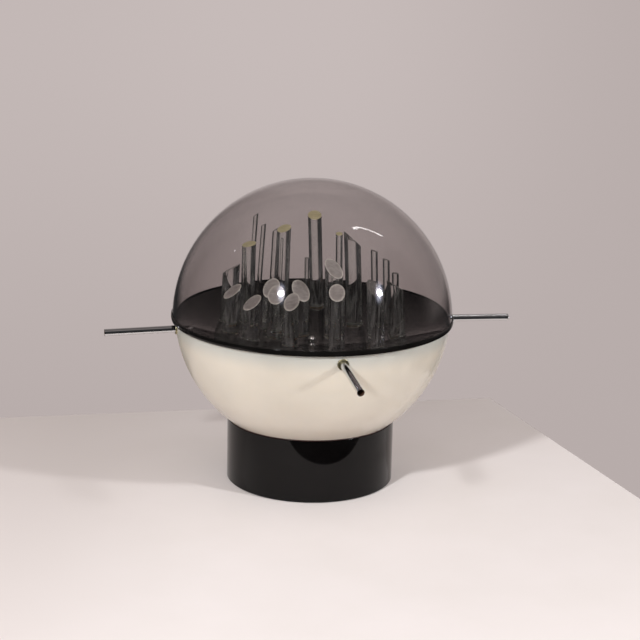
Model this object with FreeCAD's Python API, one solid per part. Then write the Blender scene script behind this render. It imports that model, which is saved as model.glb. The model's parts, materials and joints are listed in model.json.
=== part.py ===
import FreeCAD, Part

import math
import os
from collections import namedtuple

# Sculptural table lamp. Millimetres, +Z up, origin on the table under the middle of the base.
# The front of the lamp faces -Y.

V = FreeCAD.Vector
UP = V(0, 0, 1)

# Clearances
fit = 0.05               # between pieces that are assembled tight
thread_gap = 0.08        # radial, between a rod and the nut that runs on it
hole_gap = 0.25          # radial, between a rod and the plain hole that it passes
lift_gap = 0.2           # between a piece that lifts off and its seat
cut_over = 8.0           # how far a drilled hole runs past the wall it goes through

# Base drum
base_radius = 119.5
base_height = 91.0       # outer top edge of the drum above the table
drum_wall = 2.0
floor_gap = 1.0          # bottom edge of the drum above the table
bowl_lip_width = 18.5    # inward lip that carries the bowl
flange_width = 12.5      # inner ring that the base plate is screwed to
flange_thickness = 2.0

# Base plate, feet and screws
foot_height = 10.0
foot_radius = 12.0
foot_edge_radius = 1.0
foot_stem_radius = 3.0
foot_stem_bulge = 1.0
foot_stem_tip = 2.5
foot_inset = 16.0        # from the inner edge of the drum's flange to a foot's centre
foot_count = 4
plate_thickness = 2.0
plate_edge_gap = 0.3
screw_radius = 2.0
screw_head_radius = 3.6
screw_head_height = 2.4
screw_tip = 1.5          # screw beyond the flange
screw_count = 4
screw_turn = 45.0        # degrees, so that the screws stand midway between the feet

# Inlet bush for the mains cord, in the back of the drum
inlet_level = 26.0
bush_hole_radius = 6.0
bush_throat_radius = 3.6
bush_throat_length = 6.0
bush_relief_radius = 4.4
bush_boss_radius = 8.0
bush_boss_reach = 7.0
bush_catch_radius = 7.2
bush_catch_length = 4.0

# Terminal block
block_distance = 60.0    # from the lamp's axis towards the back
block_width = 32.0
block_depth = 18.0
block_height = 16.0
block_edge_radius = 1.0
terminal_pitch = 9.0
terminal_screw_radius = 1.8
terminal_screw_depth = 5.0
terminal_screw_slot = 0.6
terminal_hole_depth = 6.0

# Opal glass bowl: a ball shell cut off above its widest part
bowl_radius = 195.5
bowl_wall = 4.0
bowl_rim_drop = 11.7     # the open edge lies this far below the ball's centre
bowl_opening_radius = 21.0
bowl_seal_thickness = 1.0

# Clamp at the bottom of the bowl
clamp_radius = 36.0
clamp_thickness = 3.0
clamp_gasket_edge = 1.8
clamp_gasket_gap = 0.5

# Tie rod with its nuts and washers
rod_radius = 3.0
nut_flats = 10.0
nut_height = 5.0
washer_radius = 9.0
washer_thickness = 1.6
rod_end = 1.0            # rod beyond the lowest nut

# Lamp bracket on a spacer
spacer_height = 28.5
spacer_radius = 6.0
bracket_thickness = 2.0
bracket_hub_radius = 16.0
bracket_arm_width = 18.0
bracket_pad_radius = 15.0
lamp_circle_radius = 70.0
lamp_count = 3
first_lamp_angle = 90.0

# Lampholders and globe bulbs
holder_stub_radius = 5.0
holder_stub_length = 8.0     # below the bracket
holder_stub_bore = 3.6
holder_stub_bore_end = 4.0   # how far the stub's bore runs up into the body
holder_skirt_radius = 13.5
holder_skirt_height = 12.0
holder_sleeve_radius = 11.8
holder_height = 36.0
socket_radius = 7.3
socket_depth = 26.0
holder_nut_flats = 14.0
holder_nut_height = 4.0
cap_radius = 6.9
cap_contact_radius = 4.0
cap_contact_height = 2.6
cap_rise = 1.0               # metal cap above the holder's mouth
bulb_length = 74.0
globe_radius = 22.5
globe_neck_radius = 13.5

# Leads from the terminal block to the lampholders
lead_radius = 1.3
lead_circle_radius = 13.0
lead_hole_gap = 0.4
lead_low_bend = 17.0
lead_clamp_bend = 9.0
lead_lamp_bend = 7.5
lead_rise = 10.5             # level run above the clamp washer
lead_entry = 4.0             # how far a lead reaches into the holder's stub

# Tray: a shallow black dish with a rounded band and a lip around the dome
rim_gasket_thickness = 0.8
rim_gasket_inner = 1.2       # gasket inside the bowl's inner edge
rim_gasket_outer = 0.8       # gasket outside the bowl's outer edge
band_overhang = 5.35         # band outside the bowl's outer edge
band_height = 7.3
band_bulge = 0.6
band_skirt = 0.8             # band below the tray's seat
dish_wall = 2.0
dish_depth = 40.0
dish_seat_width = 6.5
ledge_width = 7.0
ledge_drop = 2.6             # ledge for the dome below the band's top
lip_width = 0.9

# Domed nut in the middle of the tray
cap_nut_hex_height = 3.2
cap_nut_dome_radius = 4.7
cap_nut_dome_height = 4.2
cap_nut_bore_depth = 5.6
cap_nut_rod_gap = 0.6

# Smoked dome
dome_gap = 0.4               # radial, between the dome and the tray's lip
dome_rise = 193.5
dome_wall = 3.5

# Chrome tubes through the bowl's side
tube_radius = 5.0
tube_wall = 1.0
tube_reach = 100.6           # outside the bowl
tube_inner_end = 12.0        # inside the bowl's outer face
tube_hole_gap = 0.3
collar_radius = 7.75
collar_thickness = 1.9
tube_seal_radius = 9.0
tube_seal_thickness = 2.5
tube_nut_flats = 14.0
tube_nut_height = 3.5

# Angle about the lamp's axis (0 is +X), root below the bowl ball's centre, and slope in degrees below level
SideTube = namedtuple("SideTube", "angle drop droop")
side_tubes = [
    SideTube(-77.5, 24.0, 4.7),
    SideTube(14.5, 21.0, 1.7),
    SideTube(102.5, 21.0, 1.7),
    SideTube(192.0, 21.0, 1.2),
]

# Glass rods standing in the tray
rod_below = 14.0             # lower end below the tray's upper face
grommet_wall = 1.2
grommet_flange = 1.8
grommet_flange_thickness = 1.5
cutter_size = 120.0

# Diameter, foot of the rod in the tray (x, y), height as a share of the room under the dome,
# lean of the rod and rise of its oblique cut towards +X and +Y in degrees
GlassRod = namedtuple("GlassRod", "diameter x y share lean_x lean_y cut_x cut_y")
glass_rods = [
    GlassRod(24, -121.5, 30, 0.481, 3, -2, 29, -6),
    GlassRod(20, -95, 48, 0.633, 1, -2, 11, 11),
    GlassRod(7, -94, 72, 0.882, 3.5, -3, 37, 0),
    GlassRod(7, -82, 92, 0.788, 3.5, -3, 27, 0),
    GlassRod(10, -61.5, 105, 0.726, 2.5, -3, 31, 0),
    GlassRod(20, -46, 75, 0.701, 1, -3, 14, 19),
    GlassRod(7, -41.5, 112, 0.643, 0.5, -3, 0, 0),
    GlassRod(7, -9, 95, 0.465, -0.5, -3, 0, 0),
    GlassRod(20, 6.5, 126, 0.858, -2.5, -4, 0, 27),
    GlassRod(10, 39, 95, 0.67, -1, -3, 0, 18),
    GlassRod(24, 62, 62, 0.645, -3, -2, -41, -15),
    GlassRod(10, 92, 60, 0.59, -2.5, -2, -16, 0),
    GlassRod(10, 108.5, 45, 0.551, -2.5, -2, -16, 0),
    GlassRod(10, 121.5, 30, 0.468, -3, -1, -5, 0),
    GlassRod(24, -116.5, -12, 0.337, 3, 0, 32, 20),
    GlassRod(24, -87, -30, 0.271, 2.5, 0, 30, 25.5),
    GlassRod(24, -62, 36, 0.295, 2, -1, 17, 43),
    GlassRod(24, -54, 2, 0.288, 2, 0, 6, 42),
    GlassRod(22, -30.5, -33, 0.284, 1, 0, 18, 41),
    GlassRod(26, -18, 27, 0.291, 0.5, -1, -27, 42),
    GlassRod(22, 34.5, -75, 0.409, -1, 0, 0, 41),
    GlassRod(24, 89, -73, 0.466, -2.5, 0, -31, 33),
    GlassRod(26, 31, 20, 0.448, -1, -1, -31, 35),
    GlassRod(22, 121, -22, 0.437, -5, 0, -31, -10),
]

# Levels and radii that follow from the sizes above
drum_inside_radius = base_radius - drum_wall
bowl_lip_inner = base_radius - bowl_lip_width
flange_inner = drum_inside_radius - flange_width
screw_circle_radius = flange_inner + flange_width / 2
foot_circle_radius = flange_inner - foot_inset
plate_level = foot_height
plate_top = plate_level + plate_thickness
flange_top = plate_top + flange_thickness

seal_ball_radius = bowl_radius + bowl_seal_thickness
bowl_centre = base_height + math.sqrt(seal_ball_radius ** 2 - base_radius ** 2)
bowl_inside_radius = bowl_radius - bowl_wall
bowl_rim = bowl_centre - bowl_rim_drop
bowl_rim_radius = math.sqrt(bowl_radius ** 2 - bowl_rim_drop ** 2)
bowl_rim_inner_radius = math.sqrt(bowl_inside_radius ** 2 - bowl_rim_drop ** 2)

clamp_level = bowl_centre - math.sqrt(bowl_inside_radius ** 2 - clamp_radius ** 2) + clamp_gasket_edge
clamp_top = clamp_level + clamp_thickness
bracket_level = clamp_top + spacer_height
bracket_top = bracket_level + bracket_thickness
socket_floor = bracket_top + holder_height - socket_depth
rod_hole_radius = rod_radius + hole_gap

dish_seat = bowl_rim + rim_gasket_thickness + lift_gap
band_bottom = dish_seat - band_skirt
band_top = band_bottom + band_height
band_radius = bowl_rim_radius + band_overhang
lip_inner_radius = band_radius - band_bulge - lip_width
ledge_level = band_top - ledge_drop
ledge_inner_radius = lip_inner_radius - ledge_width
dish_level = ledge_level - dish_depth
dish_radius = (ledge_inner_radius ** 2 + dish_depth ** 2) / (2 * dish_depth)
dish_centre = dish_level + dish_radius
dish_seat_outer = bowl_rim_radius + rim_gasket_outer + hole_gap

dome_foot = ledge_level + lift_gap
dome_foot_radius = lip_inner_radius - dome_gap
dome_radius = (dome_foot_radius ** 2 + dome_rise ** 2) / (2 * dome_rise)
dome_centre = dome_foot + dome_rise - dome_radius

rod_bottom = plate_level - washer_thickness - nut_height - rod_end
cap_nut_seat = dish_level + fit
rod_top = cap_nut_seat + cap_nut_bore_depth - cap_nut_rod_gap


def cylinder(radius, start, axis, length):
    """A cylinder from a start point along an axis."""
    return Part.makeCylinder(radius, length, start, axis)


def disc(radius, bottom, top):
    """An upright cylinder about the lamp's axis."""
    return cylinder(radius, V(0, 0, bottom), UP, top - bottom)


def ring(outer, inner, bottom, top):
    """An upright ring about the lamp's axis."""
    return disc(outer, bottom, top).cut(disc(inner, bottom, top))


def ball(radius, centre):
    """A ball with its centre on the lamp's axis."""
    return Part.makeSphere(radius, V(0, 0, centre))


def hexagon(flats, start, axis, length):
    """A hexagonal prism from a start point along an axis."""
    sides = 6
    corner = flats / 2 / math.cos(math.pi / sides)
    turns = [2 * math.pi * k / sides for k in range(sides + 1)]
    outline = Part.makePolygon([V(corner * math.cos(t), corner * math.sin(t), 0) for t in turns])
    prism = Part.Face(outline).extrude(UP * length)
    prism.Placement = FreeCAD.Placement(start, FreeCAD.Rotation(UP, axis))
    return prism


def nut(flats, height, bore, start, axis):
    """A hexagonal nut with a plain bore."""
    return hexagon(flats, start, axis, height).cut(cylinder(bore, start, axis, height))


def revolve(edges):
    """Turn a closed outline in the XZ plane into a solid about the lamp's axis."""
    return Part.Face(Part.Wire(edges)).revolve(V(0, 0, 0), UP, 360)


def line(a, b):
    """A straight edge between two (radius, level) points."""
    return Part.makeLine(V(a[0], 0, a[1]), V(b[0], 0, b[1]))


def arc(a, middle, b):
    """A round edge through three (radius, level) points."""
    points = [V(p[0], 0, p[1]) for p in (a, middle, b)]
    return Part.Arc(*points).toShape()


def polar(radius, angle, level=0.0):
    """A point at a radius, an angle in degrees and a level."""
    turn = math.radians(angle)
    return V(radius * math.cos(turn), radius * math.sin(turn), level)


def around(shape, count, first=0.0):
    """Copies of a shape, evenly spaced about the lamp's axis."""
    copies = []
    for k in range(count):
        copy = shape.copy()
        copy.rotate(V(0, 0, 0), UP, first + 360.0 * k / count)
        copies.append(copy)
    return copies


def group(shapes):
    """Several separate solids as one node."""
    return Part.makeCompound(shapes)


# Base

def base_drum():
    """Drum with a spun lip that follows the bowl and an inner ring for the plate."""
    seal_ball = ball(seal_ball_radius, bowl_centre)
    wall = ring(base_radius, drum_inside_radius, floor_gap, base_height)
    lip_zone = ring(base_radius, bowl_lip_inner, floor_gap, base_height)
    lip = ball(seal_ball_radius + drum_wall, bowl_centre).common(lip_zone)
    flange = ring(base_radius, flange_inner, plate_top, flange_top)
    drum = wall.fuse([lip, flange]).cut(seal_ball)
    taps = around(cylinder(screw_radius + fit, V(screw_circle_radius, 0, plate_top), UP, flange_thickness),
                  screw_count, screw_turn)
    inlet = cylinder(bush_hole_radius, V(0, flange_inner, inlet_level), V(0, 1, 0), base_radius)
    return drum.cut(taps + [inlet]).removeSplitter()


def base_plate():
    """Steel disc that closes the drum from below."""
    plate = disc(drum_inside_radius - plate_edge_gap, plate_level, plate_top)
    holes = [disc(rod_hole_radius, plate_level, plate_top)]
    screw_place = V(screw_circle_radius, 0, plate_level)
    screw_hole = cylinder(screw_radius + hole_gap, screw_place, UP, plate_thickness)
    foot_hole = cylinder(foot_stem_radius, V(foot_circle_radius, 0, plate_level), UP, plate_thickness)
    holes += around(screw_hole, screw_count, screw_turn)
    holes += around(foot_hole, foot_count)
    return plate.cut(holes)


def rubber_feet():
    """Feet that push into the plate with a bulged stem."""
    centre = V(foot_circle_radius, 0, 0)
    body = cylinder(foot_radius, centre, UP, foot_height)
    body = body.makeFillet(foot_edge_radius, [e for e in body.Edges if e.BoundBox.ZLength < fit])
    stem = cylinder(foot_stem_radius - fit, centre, UP, plate_top + foot_stem_tip)
    tip = Part.makeCone(foot_stem_radius + foot_stem_bulge, foot_stem_radius - fit, foot_stem_tip,
                        centre + UP * (plate_top + fit), UP)
    return group(around(body.fuse([stem, tip]).removeSplitter(), foot_count))


def base_screws():
    """Pan-head screws from below, through the plate into the drum's flange."""
    centre = V(screw_circle_radius, 0, plate_level)
    head = cylinder(screw_head_radius, centre - UP * screw_head_height, UP, screw_head_height)
    shank = cylinder(screw_radius, centre, UP, plate_thickness + flange_thickness + screw_tip)
    return group(around(head.fuse(shank), screw_count, screw_turn))


def cord_bush():
    """Bush that a mains cord would come in through: boss outside, catch inside."""
    back = V(0, 1, 0)
    tight = bush_hole_radius - fit
    outside = disc(base_radius + fit, floor_gap, base_height)
    inside = disc(drum_inside_radius - fit, floor_gap, base_height)
    middle = V(0, drum_inside_radius - bush_catch_length, inlet_level)
    reach = base_radius + bush_boss_reach - middle.y
    boss = cylinder(bush_boss_radius, middle, back, reach).cut(outside)
    catch = cylinder(bush_catch_radius, middle, back, reach).common(inside)
    bush = boss.fuse([catch, cylinder(tight, middle, back, reach)]).removeSplitter()
    throat = cylinder(bush_throat_radius, middle, back, reach)
    relief = cylinder(bush_relief_radius, middle, back, reach - bush_throat_length)
    return bush.cut([throat, relief])


def terminal_places():
    """The terminals' places across the block."""
    return [(k - (lamp_count - 1) / 2) * terminal_pitch for k in range(lamp_count)]


def lead_level():
    """Level of the terminals above the table."""
    return plate_top + block_height / 2


def terminal_block():
    """Moulded block on the plate with a hole for each lead and each cord core."""
    corner = V(-block_width / 2, block_distance - block_depth / 2, plate_top)
    block = Part.makeBox(block_width, block_depth, block_height, corner)
    upright = [e for e in block.Edges if e.BoundBox.ZLength > block_height / 2]
    block = block.makeFillet(block_edge_radius, upright)
    cuts = []
    for x in terminal_places():
        front = V(x, block_distance - block_depth / 2, lead_level())
        rear = V(x, block_distance + block_depth / 2, lead_level())
        screw = V(x, block_distance, plate_top + block_height)
        cuts.append(cylinder(lead_radius + hole_gap, front, V(0, 1, 0), terminal_hole_depth))
        cuts.append(cylinder(lead_radius + hole_gap, rear, V(0, -1, 0), terminal_hole_depth))
        cuts.append(cylinder(terminal_screw_radius + fit, screw, V(0, 0, -1), terminal_screw_depth))
    return block.cut(cuts)


def terminal_screws():
    """Slotted brass screws sunk in the block."""
    screws = []
    for x in terminal_places():
        top = V(x, block_distance, plate_top + block_height)
        screw = cylinder(terminal_screw_radius, top, V(0, 0, -1), terminal_screw_depth)
        width = 2 * terminal_screw_radius
        slot = Part.makeBox(width, terminal_screw_slot, terminal_screw_slot,
                            top - V(width / 2, terminal_screw_slot / 2, terminal_screw_slot))
        screws.append(screw.cut(slot))
    return group(screws)


# Bowl and its seals

def tube_root(side_tube):
    """Where a chrome tube's axis crosses the bowl's outer face, and the tube's direction."""
    out = math.sqrt(bowl_radius ** 2 - side_tube.drop ** 2)
    slope = math.radians(side_tube.droop)
    root = polar(out, side_tube.angle, bowl_centre - side_tube.drop)
    direction = polar(math.cos(slope), side_tube.angle, -math.sin(slope))
    return root, direction


def opal_bowl():
    """Glass bowl, open at the top, with a fitter hole below and four side holes."""
    shell = ball(bowl_radius, bowl_centre).cut(ball(bowl_inside_radius, bowl_centre))
    bowl = shell.common(disc(bowl_radius + bowl_wall, 0, bowl_rim))
    cuts = [disc(bowl_opening_radius, 0, bowl_centre)]
    for side_tube in side_tubes:
        root, direction = tube_root(side_tube)
        start = root - direction * (bowl_wall + cut_over)
        cuts.append(cylinder(tube_radius + tube_hole_gap, start, direction, bowl_wall + 2 * cut_over))
    return bowl.cut(cuts)


def bowl_seal():
    """Thin ring between the bowl and the drum's lip."""
    outside = ball(seal_ball_radius - fit, bowl_centre)
    zone = ring(base_radius, bowl_lip_inner, floor_gap, bowl_centre)
    return outside.common(zone).cut(ball(bowl_radius + fit, bowl_centre))


def rim_gasket():
    """Flat ring on the bowl's open edge, under the tray."""
    return ring(bowl_rim_radius + rim_gasket_outer, bowl_rim_inner_radius - rim_gasket_inner,
                bowl_rim, bowl_rim + rim_gasket_thickness)


def clamp_gasket():
    """Ring with a rounded underside, between the clamp washer and the bowl."""
    block = ring(clamp_radius, bowl_opening_radius + clamp_gasket_gap, bowl_centre - bowl_radius, clamp_level)
    return block.common(ball(bowl_inside_radius - fit, bowl_centre))


def clamp_washer():
    """Steel disc that presses the bowl down on the drum."""
    washer = disc(clamp_radius, clamp_level, clamp_top)
    lead_place = V(lead_circle_radius, 0, clamp_level)
    lead_hole = cylinder(lead_radius + lead_hole_gap, lead_place, UP, clamp_thickness)
    return washer.cut([disc(rod_hole_radius, clamp_level, clamp_top)]
                      + around(lead_hole, lamp_count, first_lamp_angle))


# Tie rod and lamp bracket

def tie_rod():
    """Threaded rod from under the plate to the tray's domed nut."""
    return disc(rod_radius, rod_bottom, rod_top)


def washer_levels():
    """Undersides of the washers: under the plate, on the bracket and under the tray."""
    return [plate_level - washer_thickness, bracket_top, dish_level - dish_wall - lift_gap - washer_thickness]


def tie_rod_washers():
    """Plain washers along the rod."""
    return group([ring(washer_radius, rod_hole_radius, z, z + washer_thickness) for z in washer_levels()])


def tie_rod_nuts():
    """One nut below the lowest washer, one on the bracket's and one below the tray's."""
    low, middle, high = washer_levels()
    starts = [low - nut_height, middle + washer_thickness, high - nut_height]
    return group([nut(nut_flats, nut_height, rod_radius + fit, V(0, 0, z), UP) for z in starts])


def bracket_spacer():
    """Tube on the rod that lifts the lamp bracket off the clamp washer."""
    return ring(spacer_radius, rod_hole_radius, clamp_top, bracket_level)


def lamp_bracket():
    """Flat star with a pad and a hole for each lampholder."""
    arm_start = V(0, -bracket_arm_width / 2, bracket_level)
    arm = Part.makeBox(lamp_circle_radius, bracket_arm_width, bracket_thickness, arm_start)
    pad = cylinder(bracket_pad_radius, V(lamp_circle_radius, 0, bracket_level), UP, bracket_thickness)
    hole = cylinder(holder_stub_radius + fit, V(lamp_circle_radius, 0, bracket_level), UP, bracket_thickness)
    arms = around(arm.fuse(pad), lamp_count, first_lamp_angle)
    star = disc(bracket_hub_radius, bracket_level, bracket_top).fuse(arms)
    holes = around(hole, lamp_count, first_lamp_angle)
    return star.cut([disc(rod_hole_radius, bracket_level, bracket_top)] + holes).removeSplitter()


# Lampholders, bulbs and leads

def lampholder(angle):
    """Moulded holder with a threaded stub through the bracket and a socket for the bulb."""
    centre = polar(lamp_circle_radius, angle, bracket_top)
    skirt = cylinder(holder_skirt_radius, centre, UP, holder_skirt_height)
    sleeve = cylinder(holder_sleeve_radius, centre, UP, holder_height)
    stub_length = bracket_thickness + holder_stub_length
    stub_start = centre - UP * stub_length
    stub = cylinder(holder_stub_radius, stub_start, UP, stub_length)
    socket = cylinder(socket_radius, centre + UP * (holder_height - socket_depth), UP, socket_depth)
    bore = cylinder(holder_stub_bore, stub_start, UP, stub_length + holder_stub_bore_end)
    return skirt.fuse([sleeve, stub]).removeSplitter().cut([socket, bore])


def holder_nuts():
    """Nuts that hold the lampholders under the bracket."""
    start = V(lamp_circle_radius, 0, bracket_level - holder_nut_height)
    holder_nut = nut(holder_nut_flats, holder_nut_height, holder_stub_radius + fit, start, UP)
    return group(around(holder_nut, lamp_count, first_lamp_angle))


def bulb(angle):
    """Globe bulb: end contact, screw cap, neck and globe."""
    foot = socket_floor + lift_gap
    cap_top = bracket_top + holder_height + cap_rise
    globe = foot + bulb_length - globe_radius
    neck = globe - math.sqrt(globe_radius ** 2 - globe_neck_radius ** 2)
    side = globe_radius * math.sqrt(0.5)
    corners = [(0, foot), (cap_contact_radius, foot), (cap_radius, foot + cap_contact_height),
               (cap_radius, cap_top), (globe_neck_radius, neck)]
    edges = [line(a, b) for a, b in zip(corners, corners[1:])]
    edges.append(arc((globe_neck_radius, neck), (side, globe + side), (0, globe + globe_radius)))
    edges.append(line((0, globe + globe_radius), (0, foot)))
    solid = revolve(edges)
    solid.translate(polar(lamp_circle_radius, angle))
    return solid


def rounded_path(points, bends):
    """Straight runs joined by tangent arcs with the given radii."""
    edges = []
    start = points[0]
    for corner, following, bend in zip(points[1:], points[2:], bends):
        before = (corner - start).normalize()
        after = (following - corner).normalize()
        turn = before.getAngle(after)
        cut = bend * math.tan(turn / 2)
        first = corner - before * cut
        last = corner + after * cut
        inward = (after - before).normalize()
        middle = corner + inward * (bend / math.cos(turn / 2) - bend)
        edges.append(Part.LineSegment(start, first).toShape())
        edges.append(Part.Arc(first, middle, last).toShape())
        start = last
    edges.append(Part.LineSegment(start, points[-1]).toShape())
    return Part.Wire(edges)


def lead(angle, terminal):
    """Sleeved lead: terminal, across the drum, up through the clamp, out and up to a holder."""
    block_front = block_distance - block_depth / 2
    run_level = clamp_top + lead_rise
    rising = polar(lead_circle_radius, angle)
    lamp = polar(lamp_circle_radius, angle)
    points = [
        V(terminal, block_front + terminal_hole_depth - hole_gap, lead_level()),
        rising + UP * lead_level(),
        rising + UP * run_level,
        lamp + UP * run_level,
        lamp + UP * (bracket_level - holder_stub_length + lead_entry),
    ]
    path = rounded_path(points, [lead_low_bend, lead_clamp_bend, lead_lamp_bend])
    start_direction = (points[1] - points[0]).normalize()
    profile = Part.Wire(Part.makeCircle(lead_radius, points[0], start_direction))
    solid = path.makePipeShell([profile], True, False)
    section = math.pi * lead_radius ** 2
    print("lead volume / section x length", round(solid.Volume / (section * path.Length), 4))
    return solid


def lamp_angles():
    """The lamps' angles about the lamp's axis."""
    return [first_lamp_angle + 360.0 * k / lamp_count for k in range(lamp_count)]


def internal_leads():
    """One lead per lamp, each from the terminal on its own side."""
    middle, left, right = lamp_angles()
    places = terminal_places()
    pairs = zip((left, middle, right), places)
    print("lead bend radii", lead_low_bend, lead_clamp_bend, lead_lamp_bend)
    return group([lead(angle, place) for angle, place in pairs])


# Tray, domed nut and dome

def dish_point(radius, depth=0.0):
    """A (radius, level) point of the tray's upper face, or below it by a depth."""
    return (radius, dish_centre - math.sqrt((dish_radius + depth) ** 2 - radius ** 2))


def rod_axis(rod):
    """Where a glass rod's axis crosses the tray's upper face, and its direction."""
    foot = V(rod.x, rod.y, dish_point(math.hypot(rod.x, rod.y))[1])
    direction = V(math.tan(math.radians(rod.lean_x)), math.tan(math.radians(rod.lean_y)), 1)
    return foot, direction.normalize()


def through_tray(rod, radius):
    """A cylinder along a glass rod's axis, through the tray."""
    foot, direction = rod_axis(rod)
    return cylinder(radius, foot - direction * rod_below, direction, 2 * rod_below)


def grommet_radius(rod):
    """Outside radius of a rod's grommet in the tray."""
    return rod.diameter / 2 + grommet_wall


def dish():
    """Tray turned from one outline, with a hole for each grommet and for the tie rod."""
    hole = rod_radius + hole_gap
    seat_inner = dish_seat_outer - dish_seat_width
    middle = (hole + seat_inner) / 2
    low_start, low_middle, low_end = [dish_point(r, dish_wall) for r in (hole, middle, seat_inner)]
    corner = band_radius - band_bulge
    corners = [low_end, (seat_inner, dish_seat), (dish_seat_outer, dish_seat),
               (dish_seat_outer, band_bottom), (corner, band_bottom)]
    edges = [arc(low_start, low_middle, low_end)]
    edges += [line(a, b) for a, b in zip(corners, corners[1:])]
    edges.append(arc((corner, band_bottom), (band_radius, (band_bottom + band_top) / 2), (corner, band_top)))
    top = [(corner, band_top), (lip_inner_radius, band_top), (lip_inner_radius, ledge_level),
           (ledge_inner_radius, ledge_level)]
    edges += [line(a, b) for a, b in zip(top, top[1:])]
    high_end, high_middle, high_start = [dish_point(r) for r in (ledge_inner_radius, middle, hole)]
    edges.append(arc(high_end, high_middle, high_start))
    edges.append(line(high_start, low_start))
    tray = revolve(edges)
    return tray.cut([through_tray(rod, grommet_radius(rod) + fit) for rod in glass_rods])


def rod_grommets():
    """Clear sleeves, flush with the tray above and flanged below, around the glass rods."""
    upper = ball(dish_radius, dish_centre)
    under = ball(dish_radius + dish_wall + fit, dish_centre)
    lowest = ball(dish_radius + dish_wall + grommet_flange_thickness, dish_centre)
    grommets = []
    for rod in glass_rods:
        sleeve = through_tray(rod, grommet_radius(rod)).common(lowest).cut(upper)
        flange = through_tray(rod, grommet_radius(rod) + grommet_flange).common(lowest).cut(under)
        bore = through_tray(rod, rod.diameter / 2 + fit)
        grommets.append(sleeve.fuse(flange).removeSplitter().cut(bore))
    return group(grommets)


def cap_nut():
    """Low domed nut with a blind bore."""
    start = V(0, 0, cap_nut_seat)
    hexagonal = hexagon(nut_flats, start, UP, cap_nut_hex_height)
    height = cap_nut_dome_height
    radius = (cap_nut_dome_radius ** 2 + height ** 2) / (2 * height)
    top = cap_nut_seat + cap_nut_hex_height + height
    dome_zone = disc(cap_nut_dome_radius, cap_nut_seat + cap_nut_hex_height / 2, top)
    rounded = ball(radius, top - radius).common(dome_zone)
    bore = disc(rod_radius + thread_gap, cap_nut_seat, cap_nut_seat + cap_nut_bore_depth)
    return hexagonal.fuse(rounded).removeSplitter().cut(bore)


def dome():
    """Smoked dome: a ball shell that stands on the tray's ledge."""
    shell = ball(dome_radius, dome_centre).cut(ball(dome_radius - dome_wall, dome_centre))
    return shell.common(disc(2 * dome_radius, dome_foot, dome_centre + 2 * dome_radius))


# Glass rods

def glass_rod(rod):
    """Round rod through the tray, with a square lower end and an oblique upper one."""
    foot, direction = rod_axis(rod)
    inside = dome_radius - dome_wall
    out = math.hypot(rod.x, rod.y)
    room = dome_centre + math.sqrt(inside ** 2 - out ** 2) - foot.z
    length = rod.share * room
    radius = rod.diameter / 2
    bar = cylinder(radius, foot - direction * rod_below, direction, rod_below + length + cutter_size / 2)
    normal = V(-math.tan(math.radians(rod.cut_x)), -math.tan(math.radians(rod.cut_y)), 1).normalize()
    block = Part.makeBox(cutter_size, cutter_size, cutter_size, V(-cutter_size / 2, -cutter_size / 2, 0))
    block.Placement = FreeCAD.Placement(foot + direction * length, FreeCAD.Rotation(UP, normal))
    return bar.cut(block)


# Chrome tubes

def tube(side_tube):
    """Open chrome tube through the bowl's side."""
    root, direction = tube_root(side_tube)
    start = root - direction * tube_inner_end
    length = tube_inner_end + tube_reach
    bore = cylinder(tube_radius - tube_wall, start, direction, length)
    return cylinder(tube_radius, start, direction, length).cut(bore)


def tube_collars():
    """Brass washers with a hollow back that follows the bowl's outer face."""
    collars = []
    for side_tube in side_tubes:
        root, direction = tube_root(side_tube)
        start = root - direction * bowl_wall
        length = bowl_wall + collar_thickness
        collar = cylinder(collar_radius, start, direction, length).cut(ball(bowl_radius + fit, bowl_centre))
        collars.append(collar.cut(cylinder(tube_radius + fit, start, direction, length)))
    return group(collars)


def tube_seals():
    """Rubber washers with a rounded face that follows the bowl's inner face."""
    seals = []
    for side_tube in side_tubes:
        root, direction = tube_root(side_tube)
        start = root - direction * (bowl_wall + tube_seal_thickness)
        length = bowl_wall + tube_seal_thickness
        seal = cylinder(tube_seal_radius, start, direction, length)
        seal = seal.common(ball(bowl_inside_radius - fit, bowl_centre))
        seals.append(seal.cut(cylinder(tube_radius + fit, start, direction, length)))
    return group(seals)


def tube_nuts():
    """Nuts on the tubes' inner ends."""
    nuts = []
    for side_tube in side_tubes:
        root, direction = tube_root(side_tube)
        start = root - direction * (bowl_wall + tube_seal_thickness + tube_nut_height)
        nuts.append(nut(tube_nut_flats, tube_nut_height, tube_radius + fit, start, direction))
    return group(nuts)


def nodes():
    """Every sub-part of the lamp by its node name."""
    parts = {
        "base_drum": base_drum(),
        "base_plate": base_plate(),
        "rubber_feet": rubber_feet(),
        "base_screws": base_screws(),
        "cord_bush": cord_bush(),
        "terminal_block": terminal_block(),
        "terminal_screws": terminal_screws(),
        "bowl_seal": bowl_seal(),
        "opal_bowl": opal_bowl(),
        "rim_gasket": rim_gasket(),
        "clamp_gasket": clamp_gasket(),
        "clamp_washer": clamp_washer(),
        "bracket_spacer": bracket_spacer(),
        "lamp_bracket": lamp_bracket(),
        "tie_rod": tie_rod(),
        "tie_rod_nuts": tie_rod_nuts(),
        "tie_rod_washers": tie_rod_washers(),
        "holder_nuts": holder_nuts(),
        "internal_leads": internal_leads(),
        "tube_collars": tube_collars(),
        "tube_seals": tube_seals(),
        "tube_nuts": tube_nuts(),
        "dish": dish(),
        "rod_grommets": rod_grommets(),
        "cap_nut": cap_nut(),
        "dome": dome(),
    }
    for number, angle in enumerate(lamp_angles(), 1):
        parts["lampholder_%d" % number] = lampholder(angle)
        parts["bulb_%d" % number] = bulb(angle)
    for number, side_tube in enumerate(side_tubes, 1):
        parts["tube_%d" % number] = tube(side_tube)
    for number, rod in enumerate(glass_rods, 1):
        parts["glass_rod_%02d" % number] = glass_rod(rod)
    return parts


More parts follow.
